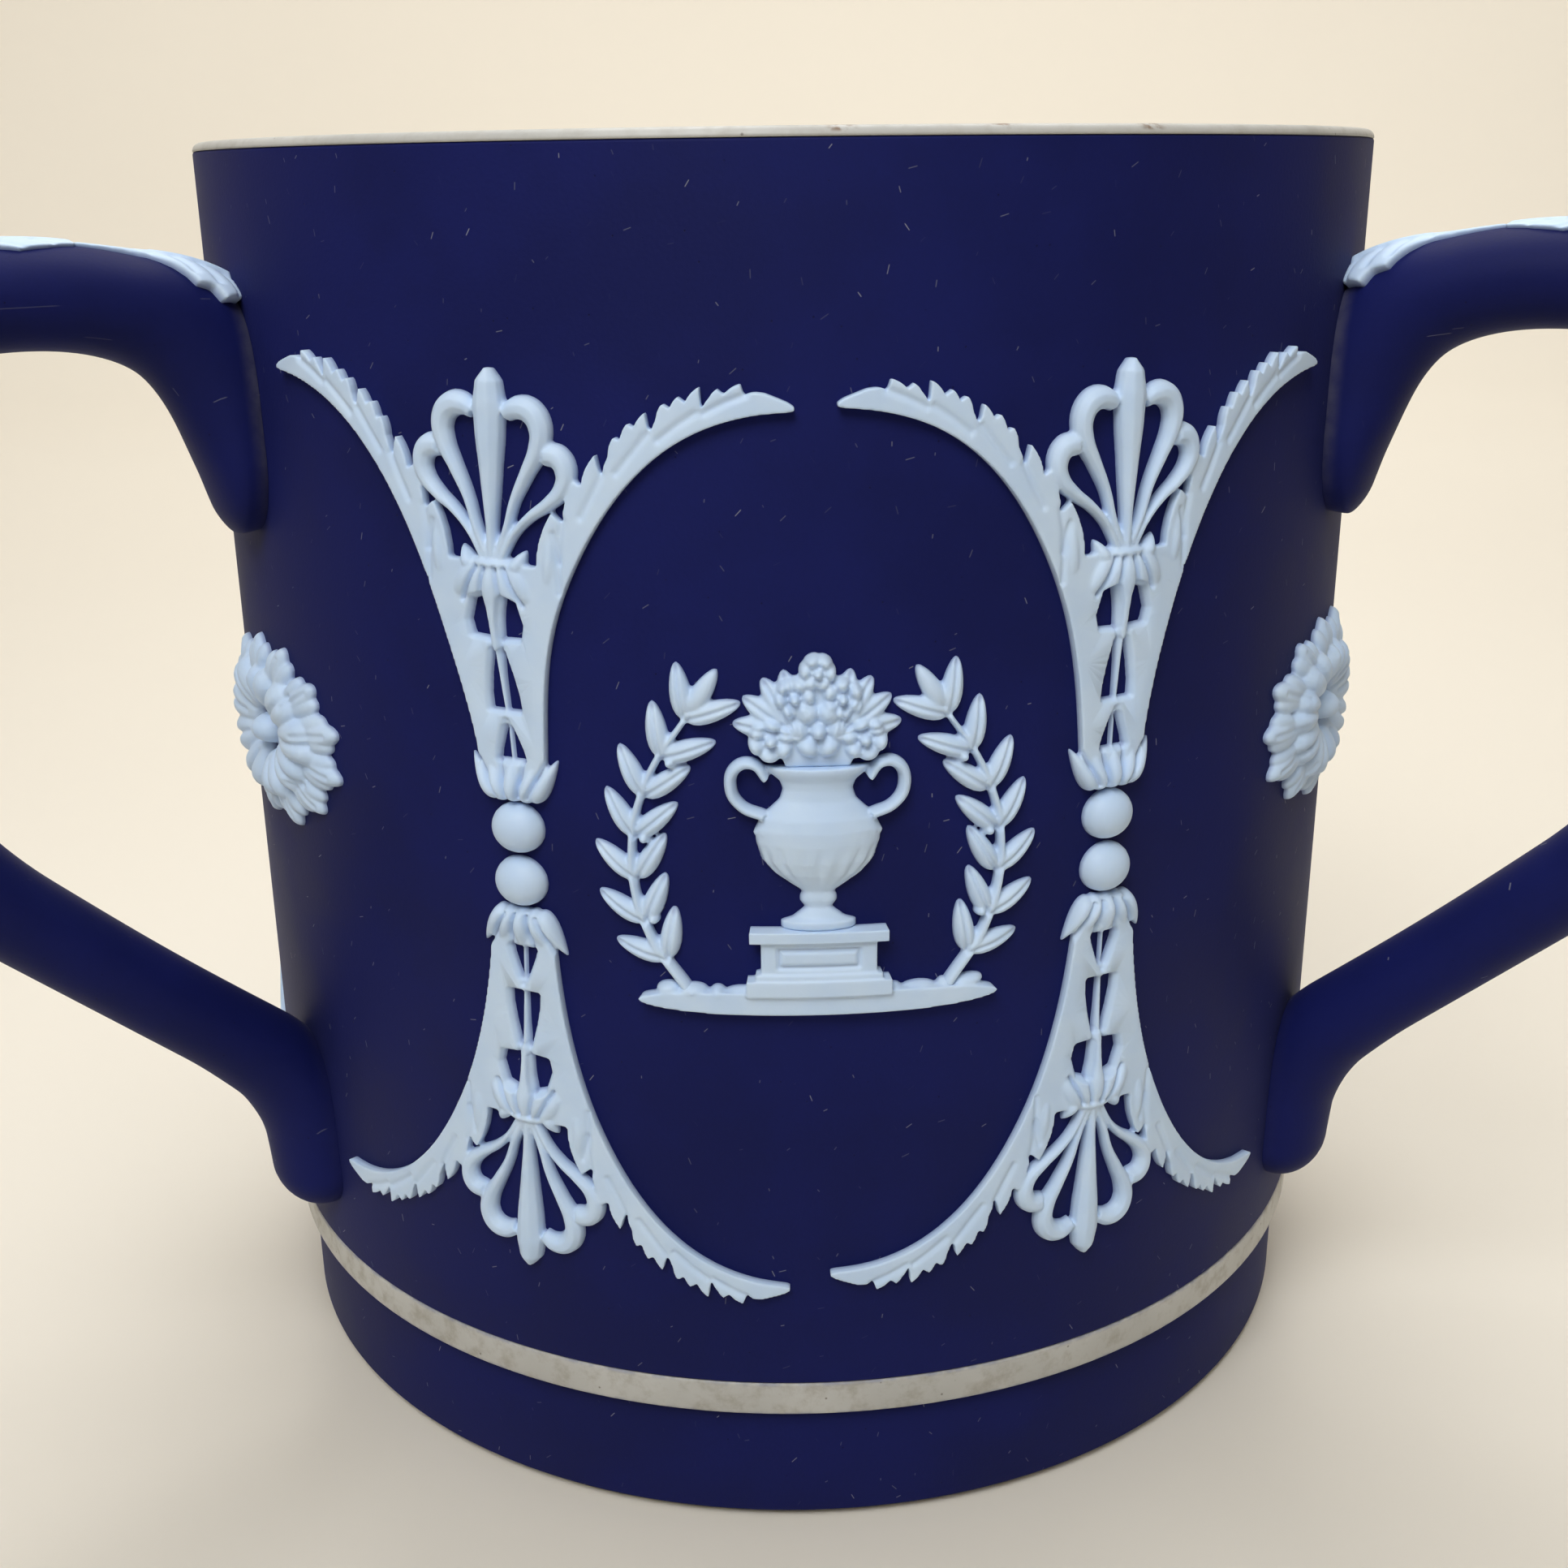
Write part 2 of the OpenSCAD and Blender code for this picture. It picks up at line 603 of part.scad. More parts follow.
module ground(angle) {
    strip_edge = [[0, 0], [0.55, 0.06], [0.86, 0.25], [1, 0.45], [0.86, 0.75], [0.55, 0.94]];
    plinth_edge = [[1, 0], [1, 0.2], [0.8, 0.26], [0.8, 0.72], [0.95, 0.8], [0.95, 1]];
    strip = [for (p = strip_edge) [ground_width / 2 * p.x, ground_height * p.y]];
    plinth = [for (p = plinth_edge) [plinth_width / 2 * p.x, ground_height + plinth_height * p.y]];
    sprig(angle, scene_base) raised(ground_relief)
        plate(both_sides(concat(strip, plinth)));
}

// Point that stands out from the wall by a lift, at an arc and height on it
function off_wall(arc, lift, height) = let(a = arc / wall_radius * 180 / PI)
    [(wall_radius + lift) * sin(a), -(wall_radius + lift) * cos(a), height];

module urn(angle) {
    r = urn_width / 2;
    h = urn_height;
    profile = concat(
        [[0.6, 0], [0.6, 0.05]],
        curve([[0.22, 0.13], [0.3, 0.19], [0.28, 0.23], [0.72, 0.35], [1, 0.55], [0.96, 0.68],
            [0.6, 0.8], [0.56, 0.88], [0.8, 0.98]], 2),
        [[0.8, 1]]
    );
    loop = [[0.84, 0.72, 5 / 6], [1.3, 0.8, 11 / 12], [1.36, 0.96, 1], [1.05, 1.02, 11 / 12], [0.72, 0.93, 2 / 3]];
    sprig(angle, scene_base + urn_base) {
        loft([for (p = profile) concat(
            [for (a = [-90:22.5:90]) off_wall(r * p.x * sin(a), 0, h * p.y)],
            [for (a = [67.5:-22.5:-67.5]) off_wall(r * p.x * sin(a), urn_depth * r * p.x * cos(a), h * p.y)]
        )]);
        raised(ground_relief) plate_pair(strip(curve([for (p = loop) [r * p.x, h * p.y, urn_loop * p.z]])));
    }
}

module bouquet(angle) {
    f = flower_radius;
    heads = [[0, 1.35, 1], [-1.6, 1, 0.8], [1.6, 1, 0.8], [-0.8, 2.5, 0.72], [0.85, 2.45, 0.72],
        [0, 3.4, 0.62]];
    sprig(angle, scene_base + urn_rim) {
        raised(spray_relief) {
            plate(both_sides([[1.1 * f, 0], [1.6 * f, 1.2 * f], [0.8 * f, 2.5 * f], [0.2 * f, 3.4 * f]]));
            for (a = [8, 34, 58, 78]) plate_pair(leaf([0.7 * f, 1.2 * f], a, 2.2 * f, 0.9 * f));
        }
        for (p = heads) {
            raised(spray_relief * 1.6) translate([p.x * f, p.y * f])
                polygon(petals(5, p.z * f, p.z * f, 0.3));
            boss([p.x * f, p.y * f], 1.4 * f * p.z, spray_relief * 2);
        }
    }
}

module laurels(angle) {
    half = ground_width / 2;
    h = laurel_height;
    line = [[0.72, 0, 1], [0.95, 0.22, 0.84], [1.02, 0.5, 0.72], [0.92, 0.76, 0.6], [0.68, 1, 0.4]];
    stem = curve([for (p = line) [half * p.x, h * p.y, laurel_stem * p.z]], laurel_leaves);
    nodes = [for (k = [1:laurel_leaves]) round(k * (len(stem) - 2) / laurel_leaves)];
    sprig(angle, scene_base + ground_height) raised(spray_relief) {
        plate_pair(strip(stem));
        for (i = nodes, side = [-1, 1]) let(
            d = stem[i + 1] - stem[i - 1],
            heading = atan2(d.y, d.x) + side * 38
        ) plate_pair(leaf([stem[i].x, stem[i].y], heading, 0.19 * h, 0.07 * h));
    }
}

module scene_piece(piece, angle) {
    if (piece == "ground") ground(angle);
    if (piece == "urn") urn(angle);
    if (piece == "bouquet") bouquet(angle);
    if (piece == "laurels") laurels(angle);
}

module handle_piece(piece, angle) {
    if (piece == "handle") handle(angle);
    if (piece == "root_leaf") root_leaf(angle);
    if (piece == "crest_leaf") crest_leaf(angle);
    if (piece == "rosette") rosette(angle);
}

body();
wall_coat();
foot_coat();
for (piece = HANDLE_PIECES, h = HANDLES)
    handle_piece(piece, h[1]);
for (p = PANELS, s = SIDES, piece = COLUMN_PIECES)
    column_piece(piece, p[1] + s[1] * column_spread);
for (piece = SCENE_PIECES, p = PANELS)
    scene_piece(piece, p[1]);
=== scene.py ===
import math

import bpy
import numpy as np
from mathutils import Matrix, Vector


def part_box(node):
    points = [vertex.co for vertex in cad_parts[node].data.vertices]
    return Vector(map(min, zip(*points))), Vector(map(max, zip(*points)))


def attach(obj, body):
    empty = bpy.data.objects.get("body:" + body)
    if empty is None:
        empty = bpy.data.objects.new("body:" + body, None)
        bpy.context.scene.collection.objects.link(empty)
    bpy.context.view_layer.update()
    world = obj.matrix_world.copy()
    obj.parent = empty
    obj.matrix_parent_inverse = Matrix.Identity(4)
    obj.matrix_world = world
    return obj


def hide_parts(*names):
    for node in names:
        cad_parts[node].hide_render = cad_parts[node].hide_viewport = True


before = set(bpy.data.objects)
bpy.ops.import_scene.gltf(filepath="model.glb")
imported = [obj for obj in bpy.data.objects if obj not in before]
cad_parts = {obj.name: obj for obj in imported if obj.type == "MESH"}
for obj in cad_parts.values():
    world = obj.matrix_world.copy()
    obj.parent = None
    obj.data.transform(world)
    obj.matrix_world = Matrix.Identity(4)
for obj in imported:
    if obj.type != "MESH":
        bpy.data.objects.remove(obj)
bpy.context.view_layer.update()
mm = 0.001
print("frame loaded")


# Sizes of the cup, in millimetres, from the frame

def nodeBox(node):
    low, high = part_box(node)
    return np.array(low) / mm, np.array(high) / mm


def middleHeight(node):
    low, high = nodeBox(node)
    return (low[2] + high[2]) / 2


wallLow, wallHigh = nodeBox("wall_coat")
footLow, footHigh = nodeBox("foot_coat")
backHandleLow, backHandleHigh = nodeBox("handle_back")

cup = {
    "height": nodeBox("body")[1][2],
    "wallRadius": wallHigh[0],
    "coatTop": wallHigh[2],
    "bandTop": wallLow[2],
    "footTop": footHigh[2],
    "footRadius": footHigh[0],
    "wallThickness": 5,
    "coatThickness": 0.5,
    "floorThickness": 7,
    "floorFillet": 6,
    "footRound": 1.2,
    "edgeRound": 0.3,  # worn edges of the coats and the band
    "steps": 240,
}
columnMid = middleHeight("column_front_left_beads")
rosetteMid = middleHeight("rosette_back")
sceneBase = nodeBox("ground_front")[0][2]
panelAngles = {"front": 0, "right": 120, "left": 240}
handleAngles = {"right": 60, "back": 180, "left": 300}
columnSpread = 25.4  # degrees from a panel's middle to its columns


# Small tools

def clearSelection():
    if bpy.context.mode != "OBJECT":
        bpy.ops.object.mode_set(mode="OBJECT")
    bpy.ops.object.select_all(action="DESELECT")


def makeActive(piece):
    clearSelection()
    piece.select_set(True)
    bpy.context.view_layer.objects.active = piece


def finishWith(piece, kind, **settings):  # adds a modifier and applies it
    makeActive(piece)
    bpy.ops.object.modifier_add(type=kind)
    modifier = piece.modifiers[-1]
    for key, value in settings.items():
        setattr(modifier, key, value)
    bpy.ops.object.modifier_apply(modifier=modifier.name)


def joinUp(parts):
    clearSelection()
    for part in parts:
        part.select_set(True)
    bpy.context.view_layer.objects.active = parts[0]
    bpy.ops.object.transform_apply(location=True, rotation=True, scale=True)
    bpy.ops.object.join()
    return bpy.context.object


def readPoints(piece):
    points = np.empty(len(piece.data.vertices) * 3)
    piece.data.vertices.foreach_get("co", points)
    return points.reshape(-1, 3)


def writePoints(piece, points):
    piece.data.vertices.foreach_set("co", np.ascontiguousarray(points).ravel())
    piece.data.update()


def editAll():  # everything picked in edit mode
    bpy.ops.object.mode_set(mode="EDIT")
    bpy.ops.mesh.select_all(action="SELECT")


fineGap = 1e-6  # merging distance for pieces in metres
flatGap = 1e-4  # and for pieces in millimetres


def fixNormals(piece, gap=fineGap):  # also leaves edit mode
    makeActive(piece)
    editAll()
    bpy.ops.mesh.remove_doubles(threshold=gap)
    bpy.ops.mesh.normals_make_consistent(inside=False)
    bpy.ops.object.mode_set(mode="OBJECT")


def drawRing(points, **settings):  # a closed line through the points
    clearSelection()
    bpy.ops.mesh.primitive_circle_add(vertices=len(points), **settings)
    piece = bpy.context.object
    writePoints(piece, np.array(points, float))
    return piece


def arc(centre, radius, start, end, steps=6):
    turns = np.radians(np.linspace(start, end, steps + 1))
    return [(centre[0] + radius * math.cos(a), centre[1] + radius * math.sin(a)) for a in turns]


def smoothStep(values, low, high):
    share = np.clip((values - low) / (high - low), 0, 1)
    return share * share * (3 - 2 * share)


def settle(piece, node, finish):  # last step of every piece
    makeActive(piece)
    bpy.ops.object.shade_smooth()
    piece.data.materials.clear()
    piece.data.materials.append(finish)
    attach(piece, "root")
    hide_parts(node)
    return piece


# Finishes: plain sums on values add Math nodes

class Value:
    def __init__(self, finish, socket):
        self.finish = finish
        self.socket = socket

    def __add__(self, other):
        return self.finish.math("ADD", self, other)

    def __radd__(self, other):
        return self.finish.math("ADD", other, self)

    def __sub__(self, other):
        return self.finish.math("SUBTRACT", self, other)

    def __rsub__(self, other):
        return self.finish.math("SUBTRACT", other, self)

    def __mul__(self, other):
        return self.finish.math("MULTIPLY", self, other)

    def __rmul__(self, other):
        return self.finish.math("MULTIPLY", other, self)

    def __truediv__(self, other):
        return self.finish.math("DIVIDE", self, other)

    def __pow__(self, other):
        return self.finish.math("POWER", self, other)


class Finish:
    def __init__(self, name):
        self.material = bpy.data.materials.new(name)
        self.material.use_nodes = True
        self.tree = self.material.node_tree
        self.tree.nodes.clear()

    def node(self, kind, settings=None, sockets=None):
        made = self.tree.nodes.new(kind)
        for key, value in (settings or {}).items():
            setattr(made, key, value)
        for key, value in (sockets or {}).items():
            if isinstance(value, Value):
                self.tree.links.new(value.socket, made.inputs[key])
            else:
                made.inputs[key].default_value = value
        return made

    def out(self, made, key=0):
        return Value(self, made.outputs[key])

    def math(self, operation, first, second=0.0):
        return self.out(self.node("ShaderNodeMath", {"operation": operation}, {0: first, 1: second}))

    def ramp(self, value, low, high, start=0.0, end=1.0):  # soft step between two values
        return self.out(self.node("ShaderNodeMapRange", {"interpolation_type": "SMOOTHSTEP"},
                                  {0: value, 1: low, 2: high, 3: start, 4: end}))

    def mix(self, share, first, second):
        return self.out(self.node("ShaderNodeMix", {"data_type": "RGBA"}, {0: share, 6: first, 7: second}), 2)

    def vector(self, operation, first, second):
        return self.out(self.node("ShaderNodeVectorMath", {"operation": operation}, {0: first, 1: second}))

    def place(self):  # object coordinates in millimetres
        coordinates = self.out(self.node("ShaderNodeTexCoord"), "Object")
        return self.vector("MULTIPLY", coordinates, (1 / mm, 1 / mm, 1 / mm))

    def axes(self, place):
        split = self.node("ShaderNodeSeparateXYZ", None, {0: place})
        return [self.out(split, i) for i in range(3)]

    def noise(self, place, size, detail=3.0, roughness=0.5):
        sockets = {"Vector": place, "Scale": 1 / size, "Detail": detail, "Roughness": roughness}
        return self.out(self.node("ShaderNodeTexNoise", None, sockets), 0)

    def cells(self, place, size, key="Distance"):
        return self.out(self.node("ShaderNodeTexVoronoi", None, {"Vector": place, "Scale": 1 / size}), key)

    def attribute(self, name):
        return self.out(self.node("ShaderNodeAttribute", {"attribute_name": name}), "Fac")

    def surface(self, sockets, height, strength, distance):
        heights = {"Strength": strength, "Distance": distance, "Height": height}
        bump = self.node("ShaderNodeBump", None, heights)
        shader = self.node("ShaderNodeBsdfPrincipled", None, {**sockets, "Normal": self.out(bump)})
        output = self.node("ShaderNodeOutputMaterial")
        self.tree.links.new(shader.outputs[0], output.inputs["Surface"])
        return self.material


slip = {
    "deep": (0.0050, 0.0078, 0.072, 1),
    "bright": (0.0070, 0.0108, 0.102, 1),
    "lint": (0.24, 0.25, 0.31, 1),
    "dust": (0.080, 0.080, 0.140, 1),
    # painted shade inside the small pits
    "pitShade": (0.002, 0.002, 0.008, 1),
    "cloud": 16,  # sizes in millimetres
    "grain": 0.35,
    "lintSpacing": 3.7,
    "lintLength": 0.32,
    "lintWidth": 0.055,
    "lintHeading": 1.25,  # radians from level, and how far they stray
    "lintStray": 2.2,
    "pitSpacing": 1.1,
    "seam": 1.7,  # how far dust lies out from the wall on a handle's root
    "seamHeights": (92, 103),  # dust is full above these heights
    "speckBump": 0.00006,  # metres
}


def addLint(f, colour, round_, up):  # short threads on the skin, most of them near upright
    flat = f.out(f.node("ShaderNodeCombineXYZ", None, {0: round_, 1: up}))
    cell = f.node("ShaderNodeTexVoronoi", {"voronoi_dimensions": "2D"},
                  {"Vector": flat, "Scale": 1 / slip["lintSpacing"]})
    chance = f.node("ShaderNodeSeparateColor", None, {0: f.out(cell, "Color")})
    heading = slip["lintHeading"] + slip["lintStray"] * (f.out(chance, 0) - 0.5)
    offRound, offUp = f.axes(f.vector("SUBTRACT", flat, f.out(cell, "Position")))[:2]
    cosine, sine = f.math("COSINE", heading), f.math("SINE", heading)
    along = f.math("ABSOLUTE", offRound * cosine + offUp * sine)
    across = f.math("ABSOLUTE", offUp * cosine - offRound * sine)
    reach = slip["lintLength"] * (0.4 + f.out(chance, 1))
    thread = f.ramp(across, slip["lintWidth"], slip["lintWidth"] * 0.3) * f.ramp(along / reach, 1.0, 0.7)
    return f.mix(thread * f.out(chance, 2) ** 3.0 * 0.9, colour, slip["lint"])


def makeSlipFinish():  # matt dark blue slip with lint, small pits painted dark as shade, and dust at the handle roots
    f = Finish("dark_blue_slip")
    place = f.place()
    east, north, up = f.axes(place)
    cloud = f.ramp(f.noise(place, slip["cloud"], 4), 0.35, 0.65)
    grain = f.noise(place, slip["grain"], 2)
    colour = f.mix(cloud * 0.6 + grain * 0.4, slip["deep"], slip["bright"])
    pitDistance = f.cells(place, slip["pitSpacing"])
    pitChance = f.out(f.node("ShaderNodeSeparateColor", None,
                             {0: f.cells(place, slip["pitSpacing"], "Color")}), 0)
    pits = f.ramp(pitDistance, 0.10, 0.04) * f.ramp(pitChance, 0.80, 0.84)
    # painted shade: the pits are darkened towards black, their dent is in the bump
    colour = f.mix(pits * 0.6, colour, slip["pitShade"])
    round_ = f.math("ARCTAN2", east, -1.0 * north) * float(cup["wallRadius"])
    colour = addLint(f, colour, round_, up)
    proud = f.math("SQRT", east * east + north * north) - float(cup["wallRadius"])
    seam = f.ramp(proud, slip["seam"], 0.1) * f.ramp(proud, 0.01, 0.06)
    seam = seam * f.ramp(up, *slip["seamHeights"], 0.1, 1.0)
    colour = f.mix(seam * f.ramp(f.noise(place, 1.4), 0.25, 0.7, 0.5, 1.0) * 0.85, colour, slip["dust"])
    roughness = 0.58 + 0.08 * cloud + 0.05 * grain
    return f.surface({"Base Color": colour, "Roughness": roughness, "Specular IOR Level": 0.12,
                      "Sheen Weight": 0.03, "Sheen Roughness": 0.35, "Sheen Tint": (0.75, 0.75, 0.8, 1)},
                     grain - pits * 2.0, 0.25, slip["speckBump"])


relief = {
    "white": (0.55, 0.71, 0.94, 1),
    "pale": (0.60, 0.75, 0.95, 1),
    "bleed": (0.20, 0.27, 0.50, 1),
    # painted shade: darker blue-grey for the hollows of the sprigs
    "hollowShade": (0.36, 0.44, 0.60, 1),
    "bleedLift": 0.55,  # sprigs thinner than this let the blue through
    "mottle": 5,  # sizes in millimetres
    "grain": 0.25,
    "grainBump": 0.00004,  # metres
}


def makeReliefFinish():  # cool white sprigged clay that turns blue where it is thin, with painted shade in its hollows
    f = Finish("white_sprig_clay")
    place = f.place()
    lift = f.attribute("lift")
    hollowShade = f.attribute("hollowShade")
    mottle = f.ramp(f.noise(place, relief["mottle"], 3), 0.3, 0.7)
    grain = f.noise(place, relief["grain"], 2)
    colour = f.mix(mottle, relief["white"], relief["pale"])
    # painted shade: darkens the clay where it lies below its surroundings
    colour = f.mix(f.ramp(hollowShade, 0.05, 0.45) * 0.75, colour, relief["hollowShade"])
    colour = f.mix(f.ramp(lift, relief["bleedLift"], 0.0) * 0.8, colour, relief["bleed"])
    return f.surface({"Base Color": colour, "Roughness": 0.48 + 0.12 * mottle, "Specular IOR Level": 0.4,
                      "Subsurface Weight": 0.12, "Subsurface Radius": (0.6, 0.7, 1.0),
                      "Subsurface Scale": 0.0006},
                     grain, 0.15, relief["grainBump"])


stoneware = {
    "clay": (0.47, 0.47, 0.45, 1),
    "pale": (0.53, 0.53, 0.51, 1),
    "grime": (0.30, 0.27, 0.22, 1),
    "stain": (0.16, 0.08, 0.03, 1),
    "speck": (0.10, 0.08, 0.06, 1),
    "blueRub": (0.22, 0.24, 0.36, 1),
    "stainAngles": (2, 14, 27),  # degrees round the lip from the front
    "stainWidth": 1.6,
    "mottle": 9,  # sizes in millimetres
    "grain": 0.4,
    "grimeSize": 2.2,
    "speckSpacing": 2.1,
    "grainBump": 0.00005,  # metres
}


def makeStonewareFinish():  # off-white body, a little grimy on the band and stained on the lip
    f = Finish("off_white_stoneware")
    place = f.place()
    east, north, up = f.axes(place)
    mottle = f.ramp(f.noise(place, stoneware["mottle"], 4), 0.3, 0.7)
    grain = f.noise(place, stoneware["grain"], 2)
    colour = f.mix(mottle, stoneware["clay"], stoneware["pale"])
    grime = f.ramp(f.noise(place, stoneware["grimeSize"], 5, 0.65), 0.42, 0.72)
    onBand = f.ramp(up, cup["bandTop"] + 2, cup["bandTop"] + 1)
    colour = f.mix(grime * (0.25 + 0.35 * onBand), colour, stoneware["grime"])
    rim = f.ramp(up, cup["bandTop"] - 0.45, cup["bandTop"] - 0.05) * onBand
    rim = rim + f.ramp(up, cup["footTop"] + 0.5, cup["footTop"] + 0.1)
    colour = f.mix(rim * f.ramp(f.noise(place, 1.3), 0.35, 0.65) * onBand * 0.6, colour, stoneware["blueRub"])
    speckDistance = f.cells(place, stoneware["speckSpacing"])
    colour = f.mix(f.ramp(speckDistance, 0.08, 0.03) * 0.7, colour, stoneware["speck"])
    round_ = f.math("ARCTAN2", east, -1.0 * north)
    stains = 0.0
    for angle in stoneware["stainAngles"]:
        gap = f.math("ABSOLUTE", round_ - math.radians(angle)) * float(cup["wallRadius"])
        stains = stains + f.ramp(gap, stoneware["stainWidth"], 0.2)
    onLip = f.ramp(up, cup["coatTop"] + 0.2, cup["coatTop"] + 0.5)
    stains = stains * onLip * f.ramp(f.noise(place, 0.9, 4), 0.42, 0.6)
    colour = f.mix(stains * 0.85, colour, stoneware["stain"])
    return f.surface({"Base Color": colour, "Roughness": 0.42 + 0.15 * grime, "Specular IOR Level": 0.45},
                     grain, 0.2, stoneware["grainBump"])


paper = {
    "cream": (0.78, 0.733, 0.65, 1),
    "pale": (0.81, 0.768, 0.685, 1),
    "cloud": 260,  # sizes in millimetres
    "fibre": 1.5,
    "fibreBump": 0.0001,  # metres
}


def makeFloorFinish():  # pale cream paper sweep
    f = Finish("cream_sweep")
    place = f.place()
    tone = f.noise(place, paper["cloud"], 2)
    fibre = f.noise(place, paper["fibre"], 3)
    colour = f.mix(tone, paper["cream"], paper["pale"])
    return f.surface({"Base Color": colour, "Roughness": 0.8 + 0.1 * tone}, fibre, 0.05, paper["fibreBump"])


slipFinish = makeSlipFinish()
reliefFinish = makeReliefFinish()
stonewareFinish = makeStonewareFinish()
floorFinish = makeFloorFinish()
print("finishes mixed")


# Thrown body and its two blue coats

def lathe(name, profile, closed):
    piece = drawRing([(radius * mm, 0, height * mm) for radius, height in profile])
    piece.name = name
    bpy.ops.object.mode_set(mode="EDIT")
    bpy.ops.mesh.select_mode(type="EDGE")
    if not closed:  # an open profile ends on the axis
        bpy.ops.mesh.select_all(action="DESELECT")
        bpy.ops.object.mode_set(mode="OBJECT")
        for edge in piece.data.edges:
            edge.select = set(edge.vertices) == {0, len(profile) - 1}
        bpy.ops.object.mode_set(mode="EDIT")
        bpy.ops.mesh.delete(type="EDGE")
    bpy.ops.mesh.select_mode(type="VERT")
    bpy.ops.mesh.select_all(action="SELECT")
    bpy.ops.mesh.spin(steps=cup["steps"], angle=2 * math.pi, center=(0, 0, 0), axis=(0, 0, 1))
    fixNormals(piece)
    return piece


def bodyProfile():
    wall = cup["wallRadius"]
    core = wall - cup["coatThickness"]
    footCore = cup["footRadius"] - cup["coatThickness"]
    inner = wall - cup["wallThickness"]
    lip = cup["height"] - cup["coatTop"]
    edge = cup["edgeRound"]
    outside = [(0, 0)] + arc((footCore - cup["footRound"], cup["footRound"]), cup["footRound"], -90, 0)
    outside += [(footCore, cup["footTop"])]
    outside += arc((wall - edge, cup["footTop"] + edge), edge, -90, 0, 4)
    outside += arc((wall - edge, cup["bandTop"] - edge), edge, 0, 90, 4)
    outside += [(core, cup["bandTop"]), (core, cup["coatTop"])]
    outside += arc((wall - lip, cup["coatTop"]), lip, 0, 90)
    inside = arc((inner + lip, cup["coatTop"]), lip, 90, 180)
    fillet = cup["floorFillet"]
    inside += arc((inner - fillet, cup["floorThickness"] + fillet), fillet, 0, -90)
    return outside + inside + [(0, cup["floorThickness"])]


def coatProfile(radius, low, high):
    edge = cup["edgeRound"]
    inner = radius - cup["coatThickness"]
    outside = arc((radius - edge, low + edge), edge, -90, 0, 4)
    outside += arc((radius - edge, high - edge), edge, 0, 90, 4)
    return [(inner, low)] + outside + [(inner, high)]


settle(lathe("body_thrown", bodyProfile(), False), "body", stonewareFinish)
settle(lathe("wall_coat_slip", coatProfile(cup["wallRadius"], cup["bandTop"], cup["coatTop"]), True),
       "wall_coat", slipFinish)
settle(lathe("foot_coat_slip", coatProfile(cup["footRadius"], footLow[2], cup["footTop"]), True),
       "foot_coat", slipFinish)
print("body thrown and dipped")


# Handles, swept along a route of straights and bends

handle = {
    "thickness": 9,
    "width": 10.6,
    "rootFlare": 0.9,
    "rootBlend": 24,
    "rootGap": 1.7,
    "tongue": 8,  # closing length of the upper end's width
    "tongueEnd": 2.7,  # closing length of the upper end's thickness
    "tongueTaper": 18,
    "tongueTip": 0.25,
    "lowerTongue": 4.6,
    "rootRise": 0.9,  # extra thickness on top where the handle leaves the wall
    "risePlace": 6,  # from the start of the upper bend
    "riseReach": 8,
    "web": 1.2,  # and inside the upper bend
    "lowerWeb": 0.8,  # and outside the lower bend
    "webReach": 13,
    "stayHollow": 0.5,  # thinning of the stay on the finger side
    "ease": 3,  # softening of the finger side along the upper bend
    "easeFrom": (4, 9),  # where the softening comes in and fades, along the spine
    "easeTo": (45, 55),
    "radii": (9.4, 34, 19, 44, 14),  # upper bend, crest, shoulder, sweep into the stay, lower bend
    "turns": (73, 47),  # degrees of the upper bend and of the stay
    "rootRun": 4,
    "lowerGap": 0.4,
    "rings": 220,
    "sides": 40,
    "crowding": 0.9,  # how much closer the rings stand at the ends
}


def handleRoute():  # straight stretches and arcs, as length and turn in degrees
    reach = backHandleHigh[1] - cup["wallRadius"] - handle["thickness"] / 2
    upperBend, crestSweep, shoulder, sweep, lowerBend = handle["radii"]
    upperTurn, turn = handle["turns"]
    rootRun = handle["rootRun"]
    lean = math.radians(upperTurn)
    bendRise = upperBend * math.sin(lean) + crestSweep * (1 - math.sin(lean))
    bendRun = upperBend * (1 - math.cos(lean)) + crestSweep * math.cos(lean)
    crestHeight = backHandleHigh[2] - handle["thickness"] / 2
    lowerRoot = backHandleLow[2] + handle["lowerTongue"] + rootRun
    crestRun = reach - handle["rootGap"] - bendRun - shoulder
    swing = 1 - math.cos(math.radians(turn))
    stay = (reach - handle["lowerGap"] - (sweep + lowerBend) * swing) / math.sin(math.radians(turn))
    stayDrop = stay * math.cos(math.radians(turn)) + (sweep + lowerBend) * math.sin(math.radians(turn))
    grip = crestHeight - shoulder - lowerRoot - stayDrop
    bend = math.pi / 180
    route = [(handle["tongue"] + rootRun, 0), (upperBend * lean, upperTurn),
             (crestSweep * (math.pi / 2 - lean), 90 - upperTurn), (crestRun, 0),
             (shoulder * bend * 90, 90), (grip, 0), (sweep * bend * turn, turn), (stay, 0),
             (lowerBend * bend * turn, -turn), (rootRun + handle["lowerTongue"], 0)]
    start = (cup["wallRadius"] + handle["rootGap"], crestHeight - bendRise - rootRun - handle["tongue"])
    return route, start


def handleSpine(samples=4000):  # distance, radius, height and heading along the route
    route, start = handleRoute()
    ends = np.cumsum([0] + [length for length, turn in route])
    headings = np.cumsum([0] + [turn for length, turn in route])
    along = np.linspace(0, ends[-1], samples)
    heading = np.radians(np.interp(along, ends, headings))
    step = np.diff(along)
    middle = (heading[1:] + heading[:-1]) / 2
    radius = start[0] + np.concatenate([[0], np.cumsum(step * np.sin(middle))])
    height = start[1] + np.concatenate([[0], np.cumsum(step * np.cos(middle))])
    return along, radius, height, heading


